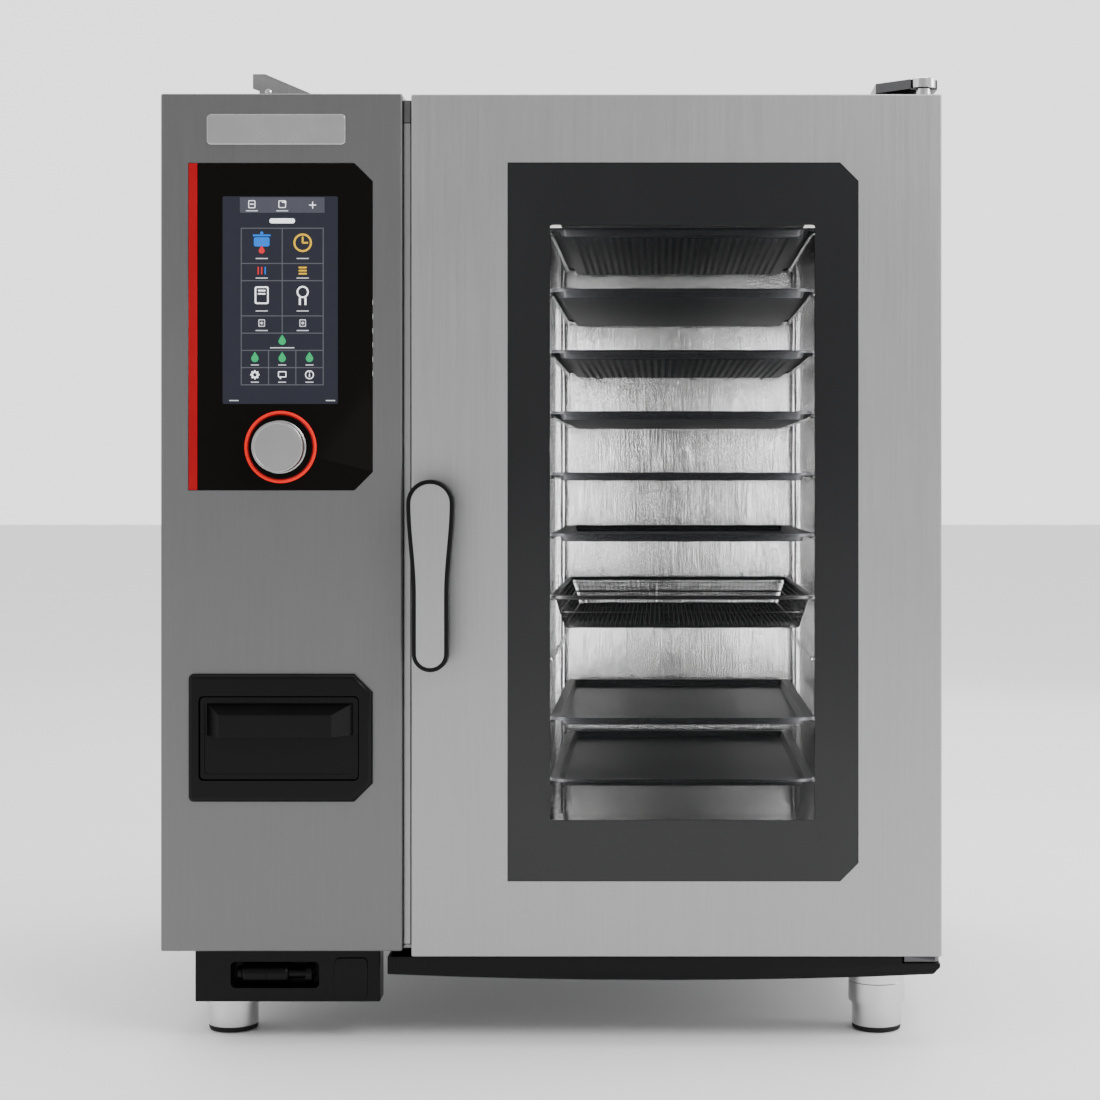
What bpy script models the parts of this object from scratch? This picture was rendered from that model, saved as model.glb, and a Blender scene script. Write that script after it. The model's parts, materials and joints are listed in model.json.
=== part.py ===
"""Combi steamer oven for ten GN 1/1 levels, built as separate pieces.

Metres, +Z up, +X to the user's right, the door faces -Y. The origin is on the floor, at the
middle of the object's width and depth. A "depth" is measured from the front face of the door
towards the back. Heights are written as they are with the feet screwed fully in. at() turns
both into world coordinates.
"""

import bmesh
import bpy
from math import cos, pi, radians, sin, sqrt
from mathutils import Vector

# ---------------------------------------------------------------- driving sizes
WIDTH = 0.925
CASE_DEPTH = 0.805  # door front to rear panel
HANDLE_REACH = 0.046  # door handle in front of the door
PIPE_REACH = 0.020  # pipe ends behind the rear panel
CASE_TOP = 1.112
CASE_BOTTOM = 0.098
FOOT_OUT = 0.013  # how far the adjustable feet are screwed out
SHEET = 0.0015  # sheet steel
GAP = 0.0004  # between pieces that touch

DOOR_FRONT_Y = -(CASE_DEPTH + PIPE_REACH - HANDLE_REACH) / 2
HALF = WIDTH / 2

# control column and door, seen from the front
FASCIA_X = (-HALF, -0.1763)
FASCIA_Z = (0.1005, 1.1168)
FASCIA_DEPTH = (0.003, 0.063)
DOOR_X = (-0.1656, HALF)
DOOR_Z = (0.0946, 1.1156)
DOOR_RETURN = 0.052  # how far the door skin folds back
CORNER_CUT = 0.0218  # the cut corners on the right of each dark panel

# door glass and what is behind it
PANE_X = (-0.0509, 0.3632)
PANE_Z = (0.1846, 1.0340)
PANE_DEPTH = (-0.0003, 0.0057)
INNER_FRAME_X = (-0.131, 0.361)
INNER_FRAME_Z = (0.140, 1.060)
INNER_FRAME_DEPTH = (0.010, 0.059)
VIEW_X = (-0.020, 0.332)  # opening through the door's inner frame
VIEW_Z = (0.246, 0.972)
INNER_PANE_DEPTH = (0.0594, 0.0640)

# cavity
FRAME_DEPTH = (0.0645, 0.0660)  # front frame around the cavity mouth
CAVITY_X = (-0.110, 0.336)
CAVITY_Z = (0.165, 1.035)
CAVITY_BACK = 0.650
CAVITY_CORNER = 0.018
BAFFLE_X = -0.025

# ten levels for trays of 325 by 530 mm
TRAY_MID_X = 0.1560
TRAY_WIDTH = 0.325
TRAY_LENGTH = 0.530
TRAY_FRONT = 0.095
LEVELS = 10
LEVEL_PITCH = 0.0752
TOP_LEVEL_Z = 0.9690
BASKET_LEVEL = 7
EMPTY_LEVEL = 8
TRAY_DEEP = 0.009
BASKET_DEEP = 0.040
RAIL_SIZE = 0.006
POST_SIZE = 0.008
RAIL_OUT = 0.161  # rail line from the trays' middle
POST_OUT = 0.1675  # upright line from the trays' middle
POST_INSET = 0.025  # from the trays' ends
RAIL_PAST = 0.010  # how far a rail runs past its uprights
RACK_FOOT = 0.009  # over the cavity's floor
RACK_TOP = 1.016
TRAY_RIM_THICK = 0.0016

# fan, on an axis along X
FAN_DEPTH = 0.360
FAN_Z = 0.600
FAN_RADIUS = 0.150

# hinge line of the door and turning line of the handle
HINGE_X = 0.4428
HINGE_DEPTH = 0.025
PIN_RADIUS = 0.0055
HANDLE_X = -0.1384
HANDLE_Z = 0.6315
HANDLE_TAIL = 0.1747  # from the turning line down to the centre of the lower round end

# control panel
GLASS_X = (-0.4294, -0.2118)
GLASS_Z = (0.6471, 1.0340)
STRIP_WIDTH = 0.0104
DISPLAY_X = (-0.3890, -0.2526)
DISPLAY_Z = (0.7490, 0.9948)
KNOB_X = -0.3202
KNOB_Z = 0.6979
KNOB_RADIUS = 0.0303
RING_RADIUS = 0.0428

# drawer
BEZEL_X = (-0.4290, -0.2112)
BEZEL_Z = (0.2780, 0.4294)
DRAWER_X = (-0.4152, -0.2277)
DRAWER_Z = (0.3046, 0.4026)
DRAWER_LENGTH = 0.190
DRAWER_TRAVEL = 0.150

# feet
FOOT_X = 0.3946
FOOT_DEPTHS = (0.100, 0.722)
FOOT_TOP = 0.0945

# flue and its flap
FLUE_X = 0.250
FLUE_DEPTH = 0.560
FLUE_RADIUS = 0.025
FLAP_Z = 1.075

# drain and water inlets at the rear
DRAIN_DEPTH = 0.330
DRAIN_Z = 0.1235
DRAIN_RADIUS = 0.020
DRAIN_BORE = 0.017
VALVE_X = -0.300
VALVE_Z = 0.165
VALVE_HALF_PITCH = 0.022
VALVE_THREAD = 0.0132


def at(x, depth, z):
    return Vector((x, DOOR_FRONT_Y + depth, z + FOOT_OUT))


# ---------------------------------------------------------------- materials
def material(name, colour, roughness, metallic):
    made = bpy.data.materials.new(name)
    made.use_nodes = True
    shader = made.node_tree.nodes["Principled BSDF"]
    shader.inputs["Base Color"].default_value = (*colour, 1)
    shader.inputs["Roughness"].default_value = roughness
    shader.inputs["Metallic"].default_value = metallic
    made.diffuse_color = (*colour, 1)
    return made


def make_materials():
    return {
        "steel": material("steel", (0.50, 0.50, 0.51), 0.35, 1),
        "bright_steel": material("bright_steel", (0.70, 0.70, 0.71), 0.18, 1),
        "enamel": material("enamel", (0.035, 0.035, 0.038), 0.45, 0),
        "black_glass": material("black_glass", (0.012, 0.012, 0.014), 0.06, 0),
        "clear_glass": material("clear_glass", (0.75, 0.80, 0.80), 0.03, 0),
        "black_plastic": material("black_plastic", (0.018, 0.018, 0.021), 0.42, 0),
        "rubber": material("rubber", (0.02, 0.02, 0.02), 0.75, 0),
        "red": material("red", (0.55, 0.03, 0.03), 0.4, 0),
        "display": material("display", (0.07, 0.07, 0.09), 0.3, 0),
        "wool": material("wool", (0.62, 0.58, 0.45), 0.95, 0),
        "board": material("board", (0.03, 0.20, 0.08), 0.6, 0),
        "lamp": material("lamp", (0.90, 0.90, 0.85), 0.4, 0),
        "motor": material("motor", (0.12, 0.13, 0.14), 0.5, 0.6),
        "aluminium": material("aluminium", (0.62, 0.62, 0.63), 0.3, 1),
        "brass": material("brass", (0.65, 0.47, 0.20), 0.3, 1),
    }


# ---------------------------------------------------------------- building tools
def add_object(name, bm, finish, parent=None):
    """A closed bmesh becomes a named object with its faces pointing out."""
    bmesh.ops.remove_doubles(bm, verts=bm.verts, dist=1e-6)
    bmesh.ops.recalc_face_normals(bm, faces=bm.faces)
    mesh = bpy.data.meshes.new(name)
    bm.to_mesh(mesh)
    bm.free()
    mesh.materials.append(finish)
    mesh.shade_smooth()
    mesh.set_sharp_from_angle(angle=radians(35))
    made = bpy.data.objects.new(name, mesh)
    bpy.context.scene.collection.objects.link(made)
    if parent:
        made.parent = parent
        made.matrix_parent_inverse = parent.matrix_world.inverted()
    return made


def axis_empty(name, place, parent=None):
    """An empty on the line or at the start of a joint."""
    empty = bpy.data.objects.new(name, None)
    empty.location = place if parent is None else place - parent.location
    empty.empty_display_size = 0.05
    bpy.context.scene.collection.objects.link(empty)
    if parent:
        empty.parent = parent
    return empty


def stack(name, loops, finish, parent=None, ring=False):
    """Joins loops of equally many points, one after the other. A ring joins the last to the first."""
    bm = bmesh.new()
    rows = [[bm.verts.new(point) for point in loop] for loop in loops]
    count = len(rows[0])
    following = rows[1:] + rows[:1] if ring else rows[1:]
    for near, far in zip(rows, following):
        for i in range(count):
            j = (i + 1) % count
            bm.faces.new((near[i], near[j], far[j], far[i]))
    if not ring:
        bm.faces.new(rows[0])
        bm.faces.new(rows[-1])
    return add_object(name, bm, finish, parent)


def flat(outline, level, axis):
    """Places a 2D outline at a level along X, along the depth (Y) or along Z."""
    if axis == "X":
        return [at(level, a, b) for a, b in outline]
    if axis == "Y":
        return [at(a, level, b) for a, b in outline]
    return [at(a, b, level) for a, b in outline]


def prism(name, outline, span, axis, finish, parent=None):
    return stack(name, [flat(outline, level, axis) for level in span], finish, parent)


def rect(across, up):
    (x0, x1), (z0, z1) = across, up
    return [(x0, z0), (x1, z0), (x1, z1), (x0, z1)]


def grow(span, by):
    return (span[0] - by, span[1] + by)


def block(name, x, depth, z, finish, parent=None):
    return prism(name, rect(x, z), depth, "Y", finish, parent)


def rounded(across, up, radius, steps=3):
    """A rectangle with rounded corners."""
    (x0, x1), (z0, z1) = across, up
    centres = [
        (x1 - radius, z1 - radius, 0),
        (x0 + radius, z1 - radius, pi / 2),
        (x0 + radius, z0 + radius, pi),
        (x1 - radius, z0 + radius, 3 * pi / 2),
    ]
    points = []
    for cx, cz, start in centres:
        for i in range(steps + 1):
            turn = start + pi / 2 * i / steps
            points.append((cx + radius * cos(turn), cz + radius * sin(turn)))
    return points


def cut_corners(across, up, cut=CORNER_CUT):
    """A rectangle whose two right-hand corners are cut off."""
    (x0, x1), (z0, z1) = across, up
    return [(x0, z0), (x1 - cut, z0), (x1, z0 + cut), (x1, z1 - cut), (x1 - cut, z1), (x0, z1)]


def circle(centre, radius, sides):
    a, b = centre
    turns = [2 * pi * i / sides for i in range(sides)]
    return [(a + radius * cos(turn), b + radius * sin(turn)) for turn in turns]


def turned(name, centre, profile, axis, finish, sides=24, parent=None):
    """Stacks circles (level, radius) along an axis into one closed body."""
    loops = [flat(circle(centre, radius, sides), level, axis) for level, radius in profile]
    return stack(name, loops, finish, parent)


def pipe_ring(name, centre, span, outer, inner, axis, finish, sides=24, parent=None):
    """A short tube or ring, open at both ends."""
    loops = [
        flat(circle(centre, outer, sides), span[0], axis),
        flat(circle(centre, outer, sides), span[1], axis),
        flat(circle(centre, inner, sides), span[1], axis),
        flat(circle(centre, inner, sides), span[0], axis),
    ]
    return stack(name, loops, finish, parent, ring=True)


def tube(name, points, radius, finish, sides=8, bore=0, parent=None):
    """A round bar or pipe along a list of points, with mitred bends that keep its width."""
    runs = [(b - a).normalized() for a, b in zip(points, points[1:])]
    upright = abs(runs[0].z) > 0.9
    side = runs[0].cross(Vector((1, 0, 0)) if upright else Vector((0, 0, 1)))
    outer, inner = [], []
    for point, arriving, leaving in zip(points, runs[:1] + runs, runs + runs[-1:]):
        along = (arriving + leaving).normalized()
        side = (side - along * side.dot(along)).normalized()
        up = along.cross(side)
        bend = (leaving - arriving).normalized()
        stretch = 1 / arriving.dot(along) - 1
        turns = [2 * pi * (k + 0.5) / sides for k in range(sides)]
        directions = [side * cos(turn) + up * sin(turn) for turn in turns]
        directions = [way + bend * way.dot(bend) * stretch for way in directions]
        outer.append([point + way * radius for way in directions])
        inner.append([point + way * bore for way in directions])
    if bore:
        return stack(name, outer + inner[::-1], finish, parent, ring=True)
    return stack(name, outer, finish, parent)


def boolean(target, other, operation):
    """Adds a Boolean with a hidden helper."""
    modifier = target.modifiers.new(operation.lower() + "_" + other.name, "BOOLEAN")
    modifier.operation = operation
    modifier.solver = "EXACT"
    modifier.object = other
    other.hide_render = True
    other.display_type = "WIRE"
    return target


def cut(target, *cutters):
    for cutter in cutters:
        boolean(target, cutter, "DIFFERENCE")
    return target


def join(target, *others):
    for other in others:
        boolean(target, other, "UNION")
    return target


# ---------------------------------------------------------------- casing
def side_panel(name, outer_x, inward, finish):
    """A side sheet with folded front and rear edges, seen from above as a shallow C."""
    fold = 0.018
    sheet, lip = outer_x + inward * SHEET, outer_x + inward * fold
    front, back = FRAME_DEPTH[1] + GAP, CASE_DEPTH - 2 * SHEET
    outline = [
        (outer_x, front),
        (lip, front),
        (lip, front + SHEET),
        (sheet, front + SHEET),
        (sheet, back - SHEET),
        (lip, back - SHEET),
        (lip, back),
        (outer_x, back),
    ]
    prism(name, outline, (CASE_BOTTOM + 0.0024, CASE_TOP - SHEET), "Z", finish)


def make_casing(m):
    side_panel("left_side_panel", -HALF, 1, m["steel"])
    side_panel("right_side_panel", HALF, -1, m["steel"])

    inside = HALF - SHEET - 0.001
    top = [
        (-inside, CASE_TOP - 0.016),
        (-inside + SHEET, CASE_TOP - 0.016),
        (-inside + SHEET, CASE_TOP - SHEET),
        (inside - SHEET, CASE_TOP - SHEET),
        (inside - SHEET, CASE_TOP - 0.016),
        (inside, CASE_TOP - 0.016),
        (inside, CASE_TOP),
        (-inside, CASE_TOP),
    ]
    fold_clear = FRAME_DEPTH[1] + SHEET + 2 * GAP
    cover = prism("top_cover", top, (fold_clear, CASE_DEPTH - 3 * SHEET - GAP), "Y", m["steel"])
    flue_hole = circle((FLUE_X, FLUE_DEPTH), FLUE_RADIUS + 0.0015, 20)
    cut(cover, prism("flue_hole_in_cover", flue_hole, (CASE_TOP - 0.01, CASE_TOP + 0.01), "Z", m["steel"]))

    rear_x, rear_z = grow((-HALF, HALF), -0.001), (CASE_BOTTOM + 0.003, CASE_TOP)
    rear = block("rear_panel", rear_x, (CASE_DEPTH - SHEET, CASE_DEPTH), rear_z, m["steel"])
    rear_holes = [
        ("drain_hole_in_rear", (TRAY_MID_X, DRAIN_Z), DRAIN_RADIUS + 0.002),
        ("soft_water_hole", (VALVE_X - VALVE_HALF_PITCH, VALVE_Z), VALVE_THREAD + 0.002),
        ("hard_water_hole", (VALVE_X + VALVE_HALF_PITCH, VALVE_Z), VALVE_THREAD + 0.002),
    ]
    through = (CASE_DEPTH - 0.01, CASE_DEPTH + 0.01)
    for name, centre, radius in rear_holes:
        cut(rear, prism(name, circle(centre, radius, 16), through, "Y", m["steel"]))
    for row in range(6):  # cooling slots for the electrical compartment
        low = 0.82 + 0.022 * row
        slot = ((-0.42, -0.24), (low, low + 0.008))
        cut(rear, block(f"cooling_slot_{row}", slot[0], through, slot[1], m["steel"]))

    pan_depth = (FRAME_DEPTH[1] + 0.002, CASE_DEPTH - 2 * SHEET)
    pan_x = grow((-HALF, HALF), -0.006)
    pan = block("base_pan", pan_x, pan_depth, (0.0865, CASE_BOTTOM), m["steel"])
    hollow_depth = (pan_depth[0] - 0.01, pan_depth[1] - 0.002)
    cut(
        pan, block("base_pan_hollow", grow(pan_x, -0.002), hollow_depth, (0.05, FOOT_TOP + GAP), m["steel"])
    )


def make_fascia(m):
    """The stainless front of the control column: a shallow box, open at the back."""
    wall = SHEET
    front, back = FASCIA_DEPTH
    edge = 0.0012

    def outer(x, z, level):
        return flat(cut_corners(x, z, edge), level, "Y")

    hole = cut_corners(grow(GLASS_X, 0.0006), grow(GLASS_Z, 0.0006), CORNER_CUT + 0.0003)
    loops = [
        flat(hole, front, "Y"),
        outer(FASCIA_X, FASCIA_Z, front),
        outer(FASCIA_X, FASCIA_Z, back),
        outer(grow(FASCIA_X, -wall), grow(FASCIA_Z, -wall), back),
        outer(grow(FASCIA_X, -wall), grow(FASCIA_Z, -wall), front + wall),
        flat(hole, front + wall, "Y"),
    ]
    fascia = stack("control_fascia", loops, m["steel"], ring=True)
    opening = (grow(DRAWER_X, 0.0045), grow(DRAWER_Z, 0.0045))
    cut(fascia, block("drawer_opening_in_fascia", opening[0], (-0.01, 0.02), opening[1], m["steel"]))


def make_feet(m):
    """Turned legs: an upper sleeve, a narrower adjusting sleeve and a rubber sole."""
    profile = [
        (-FOOT_OUT, 0.0295),
        (-FOOT_OUT + 0.0065, 0.0302),
        (0.0215, 0.0302),
        (0.0235, 0.0344),
        (FOOT_TOP, 0.0344),
    ]
    for side, x in (("left", -FOOT_X), ("right", FOOT_X)):
        for end, depth in zip(("front", "rear"), FOOT_DEPTHS):
            turned(f"foot_{end}_{side}", (x, depth), profile, "Z", m["bright_steel"], 24)


def make_gutter(m):
    """A trough under the door that catches condensate. Its floor dips towards the middle."""
    x0, x1 = -0.1945, 0.4615
    near, far = 0.008, 0.060
    wall = 0.003
    top, end_low, mid_low = 0.0930, 0.0725, 0.0655
    step_x, step_z = 0.4165, 0.0855  # lower edge under the hinge bracket
    middle = (x0 + x1) / 2

    def dip(x):
        return mid_low + (end_low - mid_low) * ((x - middle) / (x1 - middle)) ** 2

    stations = [x0 + (x1 - x0) * i / 8 for i in range(9)]
    outer = [(x0, top)] + [(x, dip(x)) for x in stations[:-1]] + [
        (x1 - 0.008, dip(x1)), (x1, dip(x1) + 0.008)
    ]
    outer += [(x1, step_z), (step_x, step_z), (step_x, top)]
    gutter = prism("drip_gutter", outer, (near, far), "Y", m["black_plastic"])
    inside = [x0 + wall + (x1 - x0 - 2 * wall) * i / 8 for i in range(9)]
    hollow = [(x0 + wall, top + 0.01)] + [(x, dip(x) + wall) for x in inside] + [(x1 - wall, top + 0.01)]
    hollow[-2] = (x1 - wall - 0.006, dip(x1) + wall)
    hollow.insert(-1, (x1 - wall, dip(x1) + wall + 0.006))
    cut(gutter, prism("gutter_hollow", hollow, (near + wall, far - wall), "Y", m["black_plastic"]))


def make_deflector(m):
    """A folded wedge on the top cover, with a notch in its upright edge."""
    left, tip = -0.3694, -0.252
    low, high = CASE_TOP + GAP, 1.1559
    near, far = 0.090, 0.150
    flat_top = 0.015
    notch = (1.130, 1.138)
    face = [
        (left, low),
        (tip, low),
        (left + flat_top, high),
        (left, high),
        (left, notch[1]),
        (left + 0.008, notch[1] - 0.003),
        (left + 0.008, notch[0]),
        (left, notch[0]),
    ]
    wedge = prism("vent_deflector", face, (near, near + 0.002), "Y", m["steel"])
    flange = block(
        "deflector_flange",
        (left + 0.0085, left + 0.0105),
        (near + 0.001, far),
        (low, high - 0.004),
        m["steel"],
    )
    foot = block(
        "deflector_foot", (left + 0.0095, tip - 0.02), (near + 0.001, far), (low, low + 0.002), m["steel"]
    )
    join(wedge, flange, foot)


# ---------------------------------------------------------------- cavity
def make_cavity(m):
    outline = rounded(CAVITY_X, CAVITY_Z, CAVITY_CORNER)
    outside = rounded(grow(CAVITY_X, SHEET), grow(CAVITY_Z, SHEET), CAVITY_CORNER + SHEET)
    mouth = FRAME_DEPTH[1] + GAP
    loops = [
        flat(outside, CAVITY_BACK + SHEET, "Y"),
        flat(outside, mouth, "Y"),
        flat(outline, mouth, "Y"),
        flat(outline, CAVITY_BACK, "Y"),
    ]
    liner = stack("cavity_liner", loops, m["bright_steel"])
    floor = (CAVITY_Z[0] - 0.01, CAVITY_Z[0] + 0.01)
    roof = (CAVITY_Z[1] - 0.01, CAVITY_Z[1] + 0.01)
    cut(
        liner,
        prism("drain_hole", circle((TRAY_MID_X, DRAIN_DEPTH), 0.022, 16), floor, "Z", m["steel"]),
        prism("flue_hole_in_liner", circle((FLUE_X, FLUE_DEPTH), 0.022, 16), roof, "Z", m["steel"]),
        prism(
            "shaft_hole_in_liner",
            circle((FAN_DEPTH, FAN_Z), 0.014, 16),
            grow((CAVITY_X[0],) * 2, 0.01),
            "X",
            m["steel"],
        ),
    )

    frame_x = (FASCIA_X[1] + 0.004, HALF - 0.003)
    frame_z = (CASE_BOTTOM + 0.005, CASE_TOP - SHEET - 2 * GAP)
    corner = 0.002
    loops = [
        flat(rounded(frame_x, frame_z, corner), FRAME_DEPTH[0], "Y"),
        flat(rounded(frame_x, frame_z, corner), FRAME_DEPTH[1], "Y"),
        flat(outline, FRAME_DEPTH[1], "Y"),
        flat(outline, FRAME_DEPTH[0], "Y"),
    ]
    stack("cavity_front_frame", loops, m["steel"], ring=True)

    def seal(offset, level):
        return flat(
            rounded(grow(CAVITY_X, offset), grow(CAVITY_Z, offset), CAVITY_CORNER + offset), level, "Y"
        )

    base, crown = FRAME_DEPTH[0] - GAP, INNER_FRAME_DEPTH[1] + GAP
    loops = [seal(0.020, base), seal(0.0165, crown), seal(0.0095, crown), seal(0.006, base)]
    stack("door_gasket", loops, m["rubber"], ring=True)

    wool_x, wool_z = (-0.140, 0.430), (0.149, 1.090)
    wool_depth = (FRAME_DEPTH[1] + 0.001, 0.690)
    clear = 0.0008
    loops = [
        flat(rect(wool_x, wool_z), wool_depth[1], "Y"),
        flat(rect(wool_x, wool_z), wool_depth[0], "Y"),
        flat(rect(grow(CAVITY_X, SHEET + clear), grow(CAVITY_Z, SHEET + clear)), wool_depth[0], "Y"),
        flat(
            rect(grow(CAVITY_X, SHEET + clear), grow(CAVITY_Z, SHEET + clear)),
            CAVITY_BACK + SHEET + clear,
            "Y",
        ),
    ]
    wool = stack("insulation_jacket", loops, m["wool"])
    cut(
        wool,
        prism(
            "flue_hole_in_wool",
            circle((FLUE_X, FLUE_DEPTH), FLUE_RADIUS + 0.006, 12),
            (1.02, 1.12),
            "Z",
            m["wool"],
        ),
        prism(
            "drain_hole_in_wool",
            circle((TRAY_MID_X, DRAIN_DEPTH), DRAIN_RADIUS + 0.006, 12),
            (0.13, 0.17),
            "Z",
            m["wool"],
        ),
        prism("shaft_hole_in_wool", circle((FAN_DEPTH, FAN_Z), 0.024, 12), (-0.17, -0.105), "X", m["wool"]),
    )


def make_air_parts(m, fan_axis):
    """Baffle, fan, motor, heater and water injector on the left of the cavity."""
    fold = BAFFLE_X - 0.040
    front, back = 0.092, 0.628
    profile = [
        (BAFFLE_X, front),
        (BAFFLE_X, back),
        (fold, back),
        (fold, back - SHEET),
        (BAFFLE_X - SHEET, back - SHEET),
        (BAFFLE_X - SHEET, front + SHEET),
        (fold, front + SHEET),
        (fold, front),
    ]
    baffle = prism("air_baffle", profile, (0.190, 1.010), "Z", m["bright_steel"])
    rows, row_pitch = 7, 0.026
    for row in range(rows):  # intake grille: slots that fill a circle
        height = (row - (rows - 1) / 2) * row_pitch
        half_length = sqrt(0.105**2 - height**2)
        slot = (
            (FAN_DEPTH - half_length, FAN_DEPTH + half_length),
            (FAN_Z + height - 0.006, FAN_Z + height + 0.006),
        )
        cut(baffle, prism(f"intake_slot_{row}", rect(*slot), grow((BAFFLE_X,) * 2, 0.01), "X", m["steel"]))

    blades = 14
    star = []
    for blade in range(blades):
        middle = 2 * pi * blade / blades
        for radius, half_width in (
            (0.040, 0.0030), (FAN_RADIUS, 0.0012), (FAN_RADIUS, -0.0012), (0.040, -0.0030)
        ):
            turn = middle - half_width / radius
            star.append((FAN_DEPTH + radius * cos(turn), FAN_Z + radius * sin(turn)))
    wheel = prism("fan_wheel", star, (-0.088, -0.046), "X", m["aluminium"], fan_axis)
    centre = (FAN_DEPTH, FAN_Z)
    disc = turned(
        "fan_back_plate",
        centre,
        [(-0.0905, FAN_RADIUS), (-0.0875, FAN_RADIUS)],
        "X",
        m["aluminium"],
        28,
        fan_axis,
    )
    hub_profile = [
        (-0.200, 0.008), (-0.094, 0.008), (-0.094, 0.022), (-0.060, 0.022), (-0.056, 0.015), (-0.048, 0.015)
    ]
    hub = turned("fan_hub_and_shaft", centre, hub_profile, "X", m["aluminium"], 16, fan_axis)
    join(wheel, disc, hub)

    motor_profile = [
        (-0.325, 0.050),
        (-0.318, 0.066),
        (-0.196, 0.066),
        (-0.192, 0.082),
        (-0.182, 0.082),
        (-0.182, 0.030),
        (-0.150, 0.023),
        (-0.142, 0.023),
    ]
    motor = turned("fan_motor", centre, motor_profile, "X", m["motor"], 20)
    cut(motor, prism("motor_bore", circle(centre, 0.0088, 16), (-0.205, -0.12), "X", m["motor"]))

    turns, per_turn, coil_radius, bar = 3, 14, 0.178, 0.004
    first_x, pitch = -0.058, -0.014
    wall, lead = CAVITY_X[0] + GAP, FAN_Z + coil_radius + 0.014
    points = [at(wall, FAN_DEPTH, lead), at(first_x, FAN_DEPTH, lead)]
    for i in range(1, turns * per_turn + 1):
        turn = pi / 2 + 2 * pi * i / per_turn
        x = first_x + pitch * i / per_turn
        points.append(at(x, FAN_DEPTH + coil_radius * cos(turn), FAN_Z + coil_radius * sin(turn)))
    points.append(at(wall, FAN_DEPTH, FAN_Z + coil_radius))
    tube("heating_coil", points, bar, m["enamel"], 6)

    injector = [
        at(CAVITY_X[0] + GAP, 0.250, 0.880),
        at(-0.085, 0.250, 0.880),
        at(-0.038, 0.262, 0.868),
        at(-0.034, 0.290, 0.800),
        at(-0.034, 0.345, 0.640),
        at(-0.036, 0.352, 0.618),
    ]
    tube("steam_injector", injector, 0.004, m["bright_steel"], 8)


# ---------------------------------------------------------------- racks, trays and basket
def level_z(level):
    return TOP_LEVEL_Z - (level - 1) * LEVEL_PITCH


def make_rack(name, side, finish):
    """Two uprights under a top bar, with a rail along their inner sides at each level."""
    post_x = grow((TRAY_MID_X + side * POST_OUT,) * 2, POST_SIZE / 2)
    rail_x = grow((TRAY_MID_X + side * RAIL_OUT,) * 2, RAIL_SIZE / 2)
    front, back = TRAY_FRONT + POST_INSET, TRAY_FRONT + TRAY_LENGTH - POST_INSET
    up = (CAVITY_Z[0] + RACK_FOOT, RACK_TOP)
    frame = block(name, post_x, grow((front,) * 2, POST_SIZE / 2), up, finish)
    join(frame, block(f"{name}_rear_upright", post_x, grow((back,) * 2, POST_SIZE / 2), up, finish))
    join(frame, block(f"{name}_top_bar", post_x, (front, back), (RACK_TOP - POST_SIZE, RACK_TOP), finish))
    for level in range(1, LEVELS + 1):
        top = level_z(level) - TRAY_RIM_THICK - GAP / 2
        rail_z = (top - RAIL_SIZE, top)
        rail = block(f"{name}_rail_{level}", rail_x, (front - RAIL_PAST, back + RAIL_PAST), rail_z, finish)
        join(frame, rail)


def pan(name, level, deep, wall, finish):
    """A GN 1/1 pan: a flat rim around a pocket with sloping walls."""
    z = level_z(level)
    across = (TRAY_MID_X - TRAY_WIDTH / 2, TRAY_MID_X + TRAY_WIDTH / 2)
    along = (TRAY_FRONT, TRAY_FRONT + TRAY_LENGTH)
    rim, slope = 0.011, 0.004

    def loop(inset, height):
        corner = max(0.020 - inset * 0.5, 0.008)
        return flat(rounded(grow(across, -inset), grow(along, -inset), corner, 2), z + height, "Z")

    loops = [
        loop(rim + slope + wall, -deep - wall),
        loop(rim + wall * 0.2, -TRAY_RIM_THICK),
        loop(0.0, -TRAY_RIM_THICK),
        loop(0.0, 0.0),
        loop(rim + wall, 0.0),
        loop(rim + slope + 2 * wall, -deep),
    ]
    return stack(name, loops, finish)


def make_load(m):
    make_rack("rack_left", -1, m["bright_steel"])
    make_rack("rack_right", 1, m["bright_steel"])
    for level in range(1, LEVELS + 1):
        if level == EMPTY_LEVEL:
            continue
        if level == BASKET_LEVEL:
            pan("fry_basket_level_07", level, BASKET_DEEP, 0.0012, m["bright_steel"])
        else:
            pan(f"tray_level_{level:02d}", level, TRAY_DEEP, 0.0012, m["enamel"])


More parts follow.
